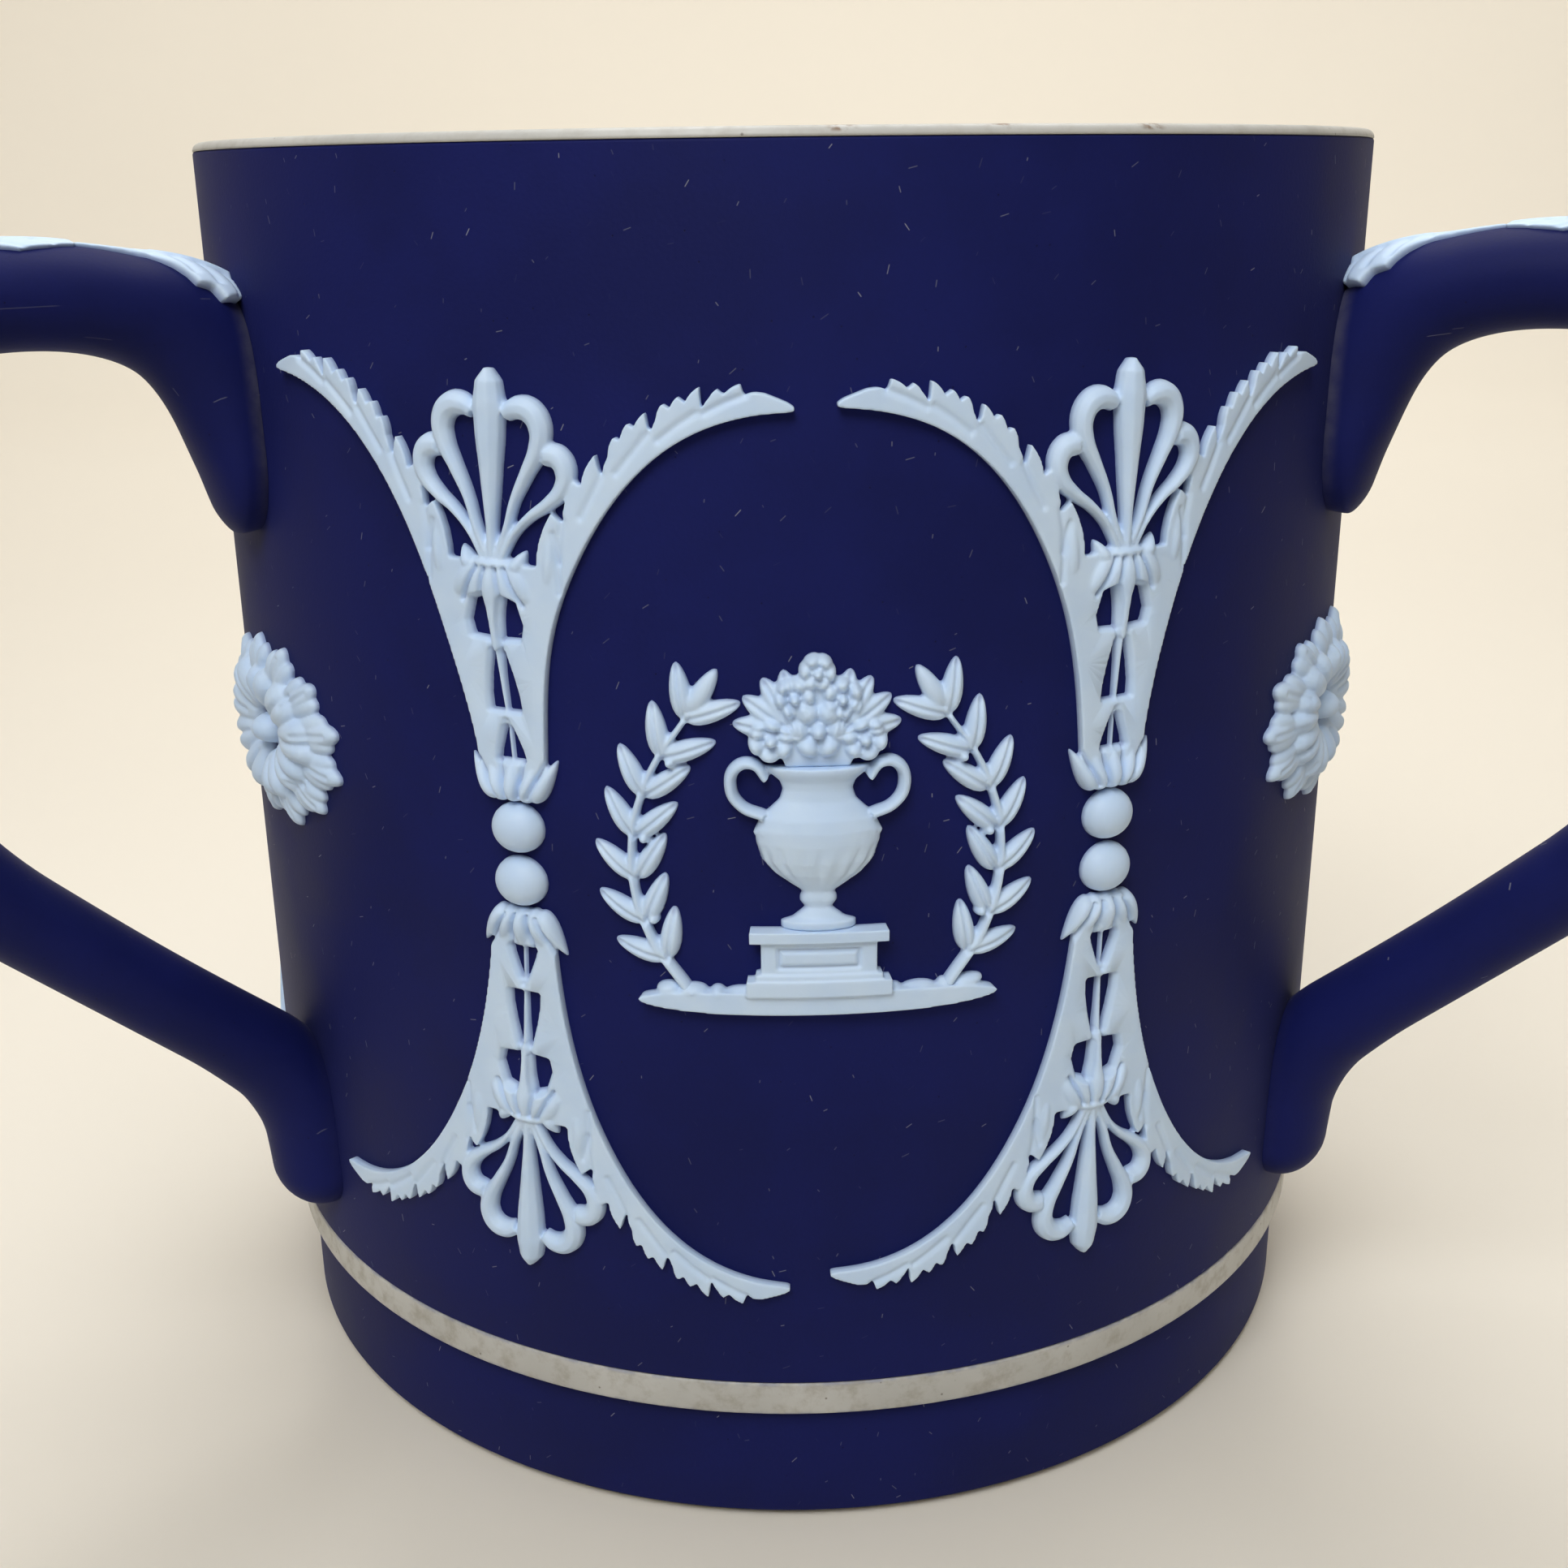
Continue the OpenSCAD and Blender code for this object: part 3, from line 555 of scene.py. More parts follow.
spine = handleSpine()
spineLength = spine[0][-1]
stretches = np.cumsum([0] + [length for length, turn in handleRoute()[0]])
upperWebPlace = stretches[1] + 0.4 * (stretches[2] - stretches[1])
hollowPlace = (stretches[7] + stretches[8]) / 2
lowerWebPlace = (stretches[8] + stretches[9]) / 2


def faded(distance, place, reach):  # full at a place along the handle, nothing beyond a reach
    return np.cos(np.clip((distance - place) / reach, -1, 1) * np.pi / 2) ** 2


def closing(distance, length):  # round end, as a share of the full size
    return np.sqrt(np.clip(1 - (1 - np.clip(distance / length, 0, 1)) ** 2, 0, 1))


def halfThickness(distance):
    lower = closing(spineLength - distance, handle["lowerTongue"])
    return handle["thickness"] / 2 * lower * closing(distance, handle["tongueEnd"])


def fingerLine():  # offset of the finger side from the spine, eased along the upper bend
    along, radius, height, heading = spine
    grown = np.sin(np.clip(along / handle["tongueTaper"], 0, 1) * np.pi / 2)
    inner = halfThickness(along) * (handle["tongueTip"] + (1 - handle["tongueTip"]) * grown)
    inner = inner + handle["web"] * faded(along, upperWebPlace, handle["webReach"])
    inner = inner - handle["stayHollow"] * faded(along, hollowPlace, 2 * handle["webReach"])
    window = int(3 * handle["ease"] / along[1])
    weights = np.exp(-0.5 * np.linspace(-3, 3, 2 * window + 1) ** 2)
    share = smoothStep(along, *handle["easeFrom"]) * (1 - smoothStep(along, *handle["easeTo"]))
    offsets = []
    for line, offset in ((radius, inner * np.cos(heading)), (height, -inner * np.sin(heading))):
        padded = np.pad(line + offset, window, mode="reflect", reflect_type="odd")
        eased = np.convolve(padded, weights / weights.sum(), "valid") - line
        offsets.append(offset + share * (eased - offset))
    return offsets


fingerOut, fingerUp = fingerLine()


def handlePoints(distance, around, lift=0.0):
    # around is the angle from the inner side of the loop, lift stands off the skin
    radius, height, heading = [np.interp(distance, spine[0], values) for values in spine[1:]]
    left = spineLength - distance
    flare = handle["rootFlare"] * np.clip(1 - np.minimum(distance, left) / handle["rootBlend"], 0, 1) ** 2
    wide = (handle["width"] / 2 + flare) * closing(left, handle["lowerTongue"])
    wide = wide * closing(distance, handle["tongue"])
    outer = halfThickness(distance) + handle["lowerWeb"] * faded(distance, lowerWebPlace, handle["webReach"])
    rise = faded(distance, stretches[1] + handle["risePlace"], handle["riseReach"])
    outer = outer + handle["rootRise"] * rise + lift
    inside = np.cos(around) > 0
    out = np.where(inside, np.interp(distance, spine[0], fingerOut), outer * np.cos(heading)) * np.cos(around)
    up = np.where(inside, np.interp(distance, spine[0], fingerUp), -outer * np.sin(heading)) * np.cos(around)
    return np.column_stack((radius + out, (wide + lift) * np.sin(around), height + up))


def turnTo(points, angle):  # from the plane of a handle to its place round the cup
    angle = math.radians(angle)
    out = np.array((math.sin(angle), -math.cos(angle), 0))
    side = np.array((math.cos(angle), math.sin(angle), 0))
    up = np.array((0, 0, 1))
    return (points[:, :1] * out + points[:, 1:2] * side + points[:, 2:] * up) * mm


def pullHandle():  # a grid rolled into a tube along the spine
    clearSelection()
    bpy.ops.mesh.primitive_grid_add(x_subdivisions=handle["rings"], y_subdivisions=handle["sides"], size=2)
    piece = bpy.context.object
    flat = (readPoints(piece) + 1) / 2
    ease = flat[:, 0] - handle["crowding"] * np.sin(2 * np.pi * flat[:, 0]) / (2 * np.pi)
    points = handlePoints(np.clip(ease, 0, 1) * spineLength, flat[:, 1] * 2 * np.pi)
    writePoints(piece, points)
    fixNormals(piece, flatGap)
    return piece


def copyOf(master, name, points):
    piece = master.copy()
    piece.data = master.data.copy()
    piece.name = name
    bpy.context.collection.objects.link(piece)
    writePoints(piece, points)
    return piece


handleMaster = pullHandle()
for side, angle in handleAngles.items():
    piece = copyOf(handleMaster, f"handle_{side}_pulled", turnTo(readPoints(handleMaster), angle))
    settle(piece, f"handle_{side}", slipFinish)
bpy.data.objects.remove(handleMaster)
print("handles pulled")


# Sprigs are modelled flat in millimetres, across, up and out, then bent on to the wall

sprig = {
    "voxel": 0.14,
    "soften": 3,
    "keep": 0.5,  # share of the faces that stays
    "sink": 0.25,
    "slope": 0.45,  # run of a slot's sloping side
    "hollowSteps": 10,  # how far round a point its hollow is felt
}
lumps = {}


def lump(taper):  # one rounded pellet of clay, a unit long, thicker or thinner at its tip
    if taper not in lumps:
        clearSelection()
        bpy.ops.mesh.primitive_uv_sphere_add(segments=20, ring_count=12, radius=0.5)
        lumps[taper] = bpy.context.object
        finishWith(lumps[taper], "SIMPLE_DEFORM", deform_method="TAPER", factor=taper, deform_axis="X")
    return lumps[taper]


def press(foot, tip, width, lift, taper=0.0, base=0.0):  # presses a pellet on from foot to tip
    foot, tip = Vector(foot), Vector(tip)
    along = tip - foot
    middle = (foot + tip) / 2
    pellet = lump(taper).copy()
    pellet.data = lump(taper).data.copy()
    bpy.context.collection.objects.link(pellet)
    turn = Matrix.Rotation(math.atan2(along.y, along.x), 4, "Z")
    size = Matrix.Diagonal((along.length, width, 2 * (lift - base), 1))
    pellet.matrix_world = Matrix.Translation((middle.x, middle.y, base)) @ turn @ size
    return pellet


def slab(outline, lift):  # a flat outline, filled and pulled up from the sheet
    depth = sprig["sink"] * 2
    piece = drawRing([(u, v, -depth) for u, v in outline], fill_type="NGON")
    editAll()
    bpy.ops.mesh.extrude_region_move(TRANSFORM_OT_translate={"value": (0, 0, lift + depth)})
    fixNormals(piece, flatGap)
    return piece


def strand(points, halfWidths, lifts):  # a tapering coil of clay laid along a curve
    clearSelection()
    bpy.ops.curve.primitive_bezier_curve_add()
    piece = bpy.context.object
    coil = piece.data
    coil.bevel_depth = 1
    coil.bevel_resolution = 3
    steps = 8  # between two points
    coil.resolution_u = steps
    knots = coil.splines[0].bezier_points
    knots.add(len(points) - 2)
    for knot, (u, v), half in zip(knots, points, halfWidths):
        knot.co = (u, v, 0)
        knot.handle_left_type = "AUTO"
        knot.handle_right_type = "AUTO"
        knot.radius = half
    bpy.ops.object.convert(target="MESH")
    piece = bpy.context.object
    rings = (len(points) - 1) * steps + 1
    shape = readPoints(piece).reshape(rings, -1, 3)
    tall = np.interp(np.linspace(0, len(points) - 1, rings), range(len(points)), lifts)
    shape[:, :, 2] *= (tall / np.abs(shape[:, :, 2]).max(axis=1))[:, None]
    writePoints(piece, shape.reshape(-1, 3))
    editAll()
    bpy.ops.mesh.fill_holes(sides=0)
    fixNormals(piece, flatGap)
    return piece


def fuse(parts, mirrored, voxel=sprig["voxel"], soften=sprig["soften"]):  # one clean skin over the parts
    piece = joinUp(parts)
    if mirrored:
        finishWith(piece, "MIRROR", use_axis=(True, False, False), use_mirror_merge=False)
        fixNormals(piece, flatGap)
    finishWith(piece, "REMESH", mode="VOXEL", voxel_size=voxel)
    finishWith(piece, "SMOOTH", factor=0.5, iterations=soften)
    return piece


def edgeDistance(points, outline):  # distance to a closed outline, negative inside it
    outline = np.array(outline)
    following = np.roll(outline, -1, axis=0)
    best = np.full(len(points), 1e9)
    inside = np.zeros(len(points), bool)
    for a, b in zip(outline, following):
        best = np.minimum(best, lineDistance(points, a, b))
        crosses = (a[1] > points[:, 1]) != (b[1] > points[:, 1])
        rise = np.where(b[1] == a[1], 1e-9, b[1] - a[1])
        inside ^= crosses & (points[:, 0] < (b[0] - a[0]) * (points[:, 1] - a[1]) / rise + a[0])
    return np.where(inside, -best, best)


def lineDistance(points, a, b):
    a, b = np.array(a, float), np.array(b, float)
    share = np.clip((points[:, :2] - a) @ (b - a) / ((b - a) @ (b - a)), 0, 1)
    return np.linalg.norm(points[:, :2] - a - share[:, None] * (b - a), axis=1)


def folded(points):  # both halves laid on the right one
    return np.column_stack((np.abs(points[:, 0]), points[:, 1:]))


def pierce(piece, outlines):  # sinks slots down to the wall, in both halves
    points = readPoints(piece)
    half = folded(points)
    slope = sprig["slope"]
    for outline in outlines:
        gap = edgeDistance(half, outline)
        limit = np.interp(gap, [0, slope * 0.3, slope, slope + 0.6], [-sprig["sink"], 0.35, 0.8, 3])
        points[:, 2] = np.minimum(points[:, 2], limit)
    writePoints(piece, points)


def score(piece, lines, width, depth, mirrored=True):  # draws grooves with a round tool
    points = readPoints(piece)
    drawn = folded(points) if mirrored else points
    cut = np.zeros(len(points))
    for line in lines:
        for a, b in zip(line, line[1:]):
            cut = np.maximum(cut, np.exp(-(lineDistance(drawn, a, b) / width) ** 2))
    points[:, 2] -= depth * cut * smoothStep(points[:, 2], 0.1, 0.6)
    writePoints(piece, points)


def noteLift(piece):  # keeps how thick the clay is and how far it lies below its surroundings, for the painted shade of the finish
    lifts = readPoints(piece)[:, 2]
    pairs = np.empty(len(piece.data.edges) * 2, int)
    piece.data.edges.foreach_get("vertices", pairs)
    first, second = pairs.reshape(-1, 2).T
    number = len(lifts)

    def neighbourSum(values):
        return np.bincount(first, values[second], number) + np.bincount(second, values[first], number)

    count = np.maximum(neighbourSum(np.ones(number)), 1)
    around = lifts.copy()
    for step in range(sprig["hollowSteps"]):
        around = neighbourSum(around) / count
    for name, values in (("lift", lifts), ("hollowShade", around - lifts)):
        kept = piece.data.attributes.new(name, "FLOAT", "POINT")
        kept.data.foreach_set("value", values.astype(np.float32))


def trim(piece):  # cuts the back flat just under the wall's face and drops needless faces
    points = readPoints(piece)
    points[:, 2] = np.maximum(points[:, 2], -sprig["sink"])
    writePoints(piece, points)
    finishWith(piece, "DECIMATE", ratio=sprig["keep"])
    noteLift(piece)
    return piece


def onWall(points, angle, height, flip=False):
    turn = -1 if flip else 1
    around = math.radians(angle) + turn * points[:, 0] / cup["wallRadius"]
    radius = cup["wallRadius"] + points[:, 2]
    return np.column_stack((radius * np.sin(around), -radius * np.cos(around),
                            height + turn * points[:, 1])) * mm


def applySprig(master, node, points):
    return settle(copyOf(master, f"{node}_sprig", points), node, reliefFinish)


# Half a column: leaf crown, pierced trunk, two lobed arms and a fan of curled canes

column = {
    "trunkHalf": 2.85,
    "ovalHeight": 39.4,
    "ovalPower": 2.29,
    "trunkLow": 6.5,
    "trunkTop": 26,
    "plateLift": 0.88,
    "armLow": 22,
    "armReach": 22.8,  # where the arm's smooth edge gives way to its tip
    "scallop": 0.08,  # swell of the teeth
    "stretch": 0.6,  # extra height of the fan and the arms at their tips
    "stretchHeights": (26, 40),
    "crown": 8,  # height that a tilted half turns about
    "tilts": {"front_left_lower": 2.4, "front_right_lower": 1.0},  # degrees, as pressed on by hand
    "fanMiddle": 33,  # height that a swaying fan turns about
    "swayHeights": (8, 24),
    "droopWidths": (8, 24),
    "sways": {  # degrees of turn, shift to the side and droop of the arm tips
        "front_left_upper": (2.2, -0.5, 0.3),
        "front_right_upper": (-0.6, 0.3, 0.7),
    },
    "beadHalf": 2.6,
    "beadRise": 2.5,
    "beadTall": 4.75,
    "beadLift": 2.1,
    "beadVoxel": 0.2,
}
columnArc = math.radians(columnSpread) * cup["wallRadius"]


def ovalEdge(height):  # smooth edge of the oval panel at a height from the column's middle
    share = 1 - (np.asarray(height) / column["ovalHeight"]) ** column["ovalPower"]
    half = columnArc - column["trunkHalf"]
    return columnArc - half * np.clip(share, 0, 1) ** (1 / column["ovalPower"])


def scallops(corners, bulge):  # each rise from a notch to a tip swells outwards
    edge = []
    for (x0, y0), (x1, y1) in zip(corners, corners[1:]):
        swell = bulge if y1 > y0 else 0
        for t in (0, 0.25, 0.5, 0.75):
            side = 4 * t * (1 - t) * swell
            edge.append((x0 + t * (x1 - x0) - side * (y1 - y0), y0 + t * (y1 - y0) + side * (x1 - x0)))
    return edge + [corners[-1]]


armCorners = [(4.2, 25.6), (5.6, 30.5), (6.6, 29.7), (7.7, 33.1), (8.2, 32.7), (9.4, 35.2), (10.0, 33.0),
              (10.5, 35.1), (11.0, 36.7), (11.5, 36.3), (12.1, 37.8), (12.6, 37.4), (13.5, 38.7),
              (14.0, 36.4), (14.4, 38.2), (14.9, 39.5), (15.5, 39.1), (16.1, 40.1), (16.7, 39.7),
              (17.8, 41.0), (18.0, 39.0), (18.6, 40.2), (19.2, 40.9), (19.7, 40.5), (21.0, 41.4),
              (21.3, 40.5), (22.3, 40.8)]
armTip = [(22.9, 40.75), (23.9, 40.4), (24.7, 40.1), (25.2, 39.8), (25.3, 39.5), (24.9, 39.36),
          (23.8, 39.25)]
armFoot = (3.6, 23)
armCreases = [[(6.6, 30.0), (6.3, 28.4), (6.3, 26.6)], [(10.0, 33.8), (9.2, 32.2), (8.2, 30.4)],
              [(13.7, 37.1), (12.6, 35.7), (11.2, 34.0)], [(17.6, 39.0), (16.2, 38.0), (14.6, 36.7)],
              [(21.4, 40.6), (19.8, 39.9), (18.2, 39.0)]]
canes = {  # points, half widths and lifts
    "tall": ([(0.4, 26.4), (1.5, 29), (2.2, 31.1), (3.4, 33.4), (4.4, 35.3), (4.6, 36.9), (3.8, 38.1),
              (2.6, 38.3), (1.5, 37.8)],
             (0.38, 0.42, 0.48, 0.65, 0.88, 1.05, 1.1, 1.0, 0.7),
             (0.9, 1.0, 1.05, 1.15, 1.25, 1.3, 1.3, 1.25, 1.0)),
    "short": ([(0.9, 26.4), (2.2, 28.6), (3.6, 30), (5.2, 31.1), (6.5, 32.4), (6.8, 33.7), (6.2, 34.7),
               (5.1, 34.9)],
              (0.36, 0.38, 0.46, 0.6, 0.8, 0.98, 1.02, 0.95),
              (0.9, 1.0, 1.05, 1.15, 1.2, 1.25, 1.25, 1.15)),
    "lobe": ([(0, 26), (0, 29), (0, 33), (0, 36), (0, 38.6), (0, 40.3), (0, 41.3)],
             (0.45, 0.55, 1.0, 1.35, 1.5, 1.2, 0.4), (1.0, 1.1, 1.3, 1.5, 1.55, 1.4, 0.9)),
    "stem": ([(0, 8.6), (0, 11), (0, 13), (0, 16.4), (0, 18.6), (0, 20), (0, 22.5)],
             (0.22, 0.22, 0.28, 0.36, 0.45, 0.68, 0.75), (0.8, 0.8, 0.85, 0.9, 1.0, 1.15, 1.4)),
}
pressed = {  # foot, tip, width, lift and taper
    "shoulder": [((5.1, 23.8), (5.65, 30.6), 1.5, 1.1, -0.6)],
    "crown": [((0, 4.9), (0, 9.7), 1.7, 1.6, -1.2), ((1.0, 4.9), (2.45, 9.4), 1.6, 1.45, -1.2),
              ((1.75, 5.0), (4.25, 9.1), 1.45, 1.3, -1.2), ((-2.5, 5.8), (2.5, 5.8), 1.6, 1.2, 0)],
    "calyx": [((0, 26.4), (0, 20.6), 2.2, 1.6, -0.4), ((0.5, 26.5), (2.2, 21.5), 2.3, 1.5, -0.25),
              ((1.3, 26.4), (3.8, 22.3), 2.1, 1.4, -0.25), ((1.9, 25.2), (3.1, 27.2), 1.3, 1.2, -0.9),
              ((-2.3, 25.9), (2.3, 25.9), 1.2, 1.4, 0)],
}
slots = [[(0.72, 19.6), (2.2, 19.7), (2.45, 20.8), (1.9, 22.6), (1.1, 22.9), (0.85, 21.6)],
         [(0.3, 13.3), (1.35, 13.3), (1.3, 14.6), (1.0, 16.3), (0.5, 18.3), (0.4, 16.4)],
         [(0.24, 8.9), (1.15, 8.9), (1.0, 9.6), (0.5, 11), (0.24, 11.6)]]
scores = {  # lines, width and depth of the grooves
    "shoulder": ([[(6.3, 24), (6.2, 26.5), (5.75, 28.9)]], 0.25, 0.25),
    "arms": (armCreases, 0.3, 0.22),
    "stem": ([[(0.3, 11.4), (0.06, 12.4)], [(0.45, 18.2), (0.6, 19.4)]], 0.2, 0.35),
    "crown": ([[(0.55, 5.6), (1.2, 8.9)], [(1.5, 5.6), (3.2, 8.7)]], 0.18, 0.5),
    "calyx": ([[(0.5, 25.6), (1.1, 22.6)], [(1.3, 25.6), (2.9, 22.6)]], 0.18, 0.45),
}


def armOutline():
    share = np.linspace(0, 1, 28)
    low = column["armLow"]
    heights = low + (column["ovalHeight"] - low) * (1 - (1 - share) ** 2.4)  # closer towards the tip
    smooth = [(u, v) for u, v in zip(ovalEdge(heights), heights) if u < column["armReach"]]
    return smooth + armTip[::-1] + scallops(armCorners, column["scallop"])[::-1] + [armFoot]


def trunkOutline():
    heights = np.linspace(column["trunkLow"], column["trunkTop"], 16)
    edge = [(u, v) for u, v in zip(ovalEdge(heights), heights)]
    return edge + [(-u, v) for u, v in edge[::-1]]


def makeHalfColumn():
    parts = [slab(trunkOutline(), column["plateLift"]), slab(armOutline(), column["plateLift"])]
    parts += [strand(*cane) for cane in canes.values()]
    parts += [press(*pellet) for group in pressed.values() for pellet in group]
    piece = fuse(parts, True)
    pierce(piece, slots)
    for grooves in scores.values():
        score(piece, *grooves)
    points = readPoints(piece)
    points[:, 1] += column["stretch"] * smoothStep(points[:, 1], *column["stretchHeights"])
    writePoints(piece, points)
    return trim(piece)


def turned(points, turn, pivot):  # clockwise about a height on the column's axis
    across, up = points[:, 0], points[:, 1] - pivot
    return across * np.cos(turn) + up * np.sin(turn), pivot - across * np.sin(turn) + up * np.cos(turn)


def tilted(points, degrees):  # turned a little about the crown
    return np.column_stack((*turned(points, math.radians(degrees), column["crown"]), points[:, 2]))


def swayed(points, degrees, shift, droop):  # fan turned and moved sideways, arms let down at their tips
    weight = smoothStep(points[:, 1], *column["swayHeights"])
    across, up = turned(points, math.radians(degrees) * weight, column["fanMiddle"])
    fall = droop * smoothStep(np.abs(points[:, 0]), *column["droopWidths"])
    return np.column_stack((across + shift * weight, up - fall, points[:, 2]))


def makeBeads():
    half, rise = column["beadHalf"], column["beadRise"]
    parts = [press((-half, side * rise), (half, side * rise), column["beadTall"], column["beadLift"])
             for side in (1, -1)]
    return trim(fuse(parts, False, column["beadVoxel"]))


halfColumn = makeHalfColumn()
beads = makeBeads()
for panel, panelAngle in panelAngles.items():
    for side, turn in (("left", -1), ("right", 1)):
        angle = panelAngle + turn * columnSpread
        name = f"column_{panel}_{side}"
        for end in ("upper", "lower"):
            place = f"{panel}_{side}_{end}"
            points = tilted(readPoints(halfColumn), column["tilts"].get(place, 0))
            points = swayed(points, *column["sways"].get(place, (0, 0, 0)))
            applySprig(halfColumn, f"{name}_{end}", onWall(points, angle, columnMid, end == "lower"))
        applySprig(beads, name + "_beads", onWall(readPoints(beads), angle, columnMid))
print("columns applied", len(halfColumn.data.polygons))


# Oval rosettes inside the handles: leaves and petals round a knob

rosette = {
    "halfWidth": 15,
    "halfHeight": 9.6,
    "leaves": 13,
    "petals": 9,
    "knob": 3.8,
    "ring": 0.2,  # groove round the knob, as a share of the oval
    "soften": 6,
}


def makeRosette():
    parts = []
    grooves = []
    across, up = rosette["halfWidth"], rosette["halfHeight"]

    def place(turn, share):
        return Vector((across * share * math.cos(turn), up * share * math.sin(turn)))

    for k in range(rosette["leaves"]):  # each leaf ends in three blunt lobes
        a = 2 * math.pi * (k + 0.5) / rosette["leaves"]
        spread = 2 * math.pi / rosette["leaves"]
        long = 0.985 + 0.015 * math.cos(5 * a)
        parts.append(press(place(a, 0.4), place(a, long), 2.5, 1.4, 0.25))
        for side in (-1, 1):
            parts.append(press(place(a, 0.35), place(a + side * spread * 0.3, 0.9), 2.2, 1.25, 0.45))
        grooves.append([place(a, 0.6), place(a, 0.88)])
    for k in range(rosette["petals"]):
        a = 2 * math.pi * (k + 0.15) / rosette["petals"]
        reach = 0.72 + 0.04 * math.cos(2 * k)
        for side in (-1, 1):
            parts.append(press(place(a, 0.16), place(a + side * 0.15, reach), 3.2, 2.2, 0.8))
        grooves.append([place(a, 0.34), place(a, 0.7)])
    half = rosette["knob"] / 2
    parts.append(press((-half, 0), (half, 0), rosette["knob"] * 0.86, 2.5))
    piece = fuse(parts, False, soften=rosette["soften"])
    score(piece, grooves, 0.32, 0.25, False)
    ring = [place(a, rosette["ring"]) for a in np.linspace(0, 2 * math.pi, 25)]
    score(piece, [ring], 0.35, 0.7, False)
    return trim(piece)


rosetteMaster = makeRosette()
for side, angle in handleAngles.items():
    applySprig(rosetteMaster, f"rosette_{side}", onWall(readPoints(rosetteMaster), angle, rosetteMid))
print("rosettes applied", len(rosetteMaster.data.polygons))


# Panel scene: an urn of flowers on a plinth between two laurel branches

scene = {
    "groundWidth": 31.4,
    "groundHeight": 2.2,
    "plinthWidth": 12.4,
    "plinthHeight": 5.8,
    "urnWidth": 10.8,
    "urnHeight": 14.7,
    "urnDepth": 0.42,
    "flower": 2.4,
    "laurelHeight": 25,
    "laurelLeaves": 7,
}
urnBase = scene["groundHeight"] + scene["plinthHeight"]
urnRim = urnBase + scene["urnHeight"]


def box(halfWidth, low, high, lift):
    return slab([(-halfWidth, low), (halfWidth, low), (halfWidth, high), (-halfWidth, high)], lift)


def makeGround():
    half, high = scene["groundWidth"] / 2, scene["groundHeight"]
    turns = np.linspace(-1.55, 1.55, 25)
    edge = [(half * math.cos(a) ** 0.6, high / 2 * (1 + math.sin(a) * 0.98)) for a in turns]
    parts = [slab(edge + [(-u, v) for u, v in edge[::-1]], 1.3)]
    for k in range(13):  # low tufts along the ground
        u = half * (-0.84 + 1.68 * k / 12)
        grow = 1.1 + 0.5 * math.sin(2.7 * k)
        tip = (u + grow, 2.0 + 0.2 * math.cos(k))
        parts.append(press((u - grow, 1.9), tip, 1.3, 1.25 + 0.2 * math.sin(k)))
    width, top = scene["plinthWidth"] / 2, scene["plinthHeight"]
    parts += [box(width, high - 0.3, high + top * 0.2, 1.7), box(width * 0.8, high, high + top * 0.95, 1.25),
              box(width * 0.88, high + top * 0.2, high + top * 0.3, 1.5),
              box(width * 0.95, high + top * 0.82, high + top, 1.7)]
    piece = fuse(parts, False)
    side, low, top = 3.4, high + 2.4, high + 4.0  # sunk panel on the plinth
    panel = [(-side, low), (side, low), (side, top), (-side, top), (-side, low)]
    score(piece, [panel], 0.2, 0.35, False)
    return trim(piece)


def makeUrn():
    r, h = scene["urnWidth"] / 2, scene["urnHeight"]
    shares = [(0.0, 0), (0.6, 0), (0.6, 0.05), (0.42, 0.07), (0.22, 0.13), (0.3, 0.17), (0.3, 0.2),
              (0.26, 0.23), (0.5, 0.29), (0.72, 0.35), (0.9, 0.43), (1, 0.54), (0.99, 0.62), (0.9, 0.69),
              (0.74, 0.75), (0.6, 0.8), (0.55, 0.86), (0.6, 0.91), (0.76, 0.96), (0.8, 0.98), (0.8, 1),
              (0.0, 1)]
    bowl = drawRing([(r * across, urnBase + h * up, 0) for across, up in shares])
    editAll()
    bpy.ops.mesh.spin(steps=64, angle=2 * math.pi, center=(0, 0, 0), axis=(0, 1, 0))
    fixNormals(bowl, flatGap)
    points = readPoints(bowl)
    turn = np.arctan2(points[:, 0], points[:, 2])
    share = (points[:, 1] - urnBase) / h
    begin, end = smoothStep(share, 0.24, 0.3), 1 - smoothStep(share, 0.5, 0.56)
    flutes = np.abs(np.sin(turn * 9)) * begin * end
    points[:, [0, 2]] *= (1 - 0.10 * (1 - flutes) * begin * end)[:, None]
    points[:, 2] *= scene["urnDepth"]
    writePoints(bowl, points)
    parts = [bowl]
    loop = [(0.84, 0.70), (1.2, 0.76), (1.36, 0.87), (1.26, 0.99), (1.0, 1.01), (0.8, 0.92)]
    for side in (-1, 1):
        parts.append(strand([(side * r * u, urnBase + h * v) for u, v in loop],
                            (0.5, 0.5, 0.55, 0.55, 0.5, 0.4), (1.3, 1.2, 1.2, 1.2, 1.2, 1.2)))
    for k in range(-5, 6):
        u = 0.97 * r * math.sin(k * 0.27)
        out = scene["urnDepth"] * r * math.cos(k * 0.27)
        v = urnBase + 0.6 * h
        parts.append(press((u - 0.36, v), (u + 0.36, v), 0.75, out * 0.85 + 0.25, 0, out * 0.5))
    return trim(fuse(parts, False))


def flower(u, v, size, lift, turn):  # round head of petals about an eye
    parts = []
    for k in range(6):
        a = turn + 2 * math.pi * k / 6
        tip = (u + size * math.cos(a), v + size * math.sin(a))
        foot = (u + 0.12 * size * math.cos(a), v + 0.12 * size * math.sin(a))
        parts.append(press(foot, tip, 0.88 * size, lift, 0.7))
    parts.append(press((u - 0.27 * size, v), (u + 0.27 * size, v), 0.54 * size, lift * 1.3, 0, lift * 0.4))
    return parts


def leaf(foot, heading, length, width, lift):
    tip = (foot[0] + length * math.cos(heading), foot[1] + length * math.sin(heading))
    return press(foot, tip, width, lift, -0.5), [foot, tip]


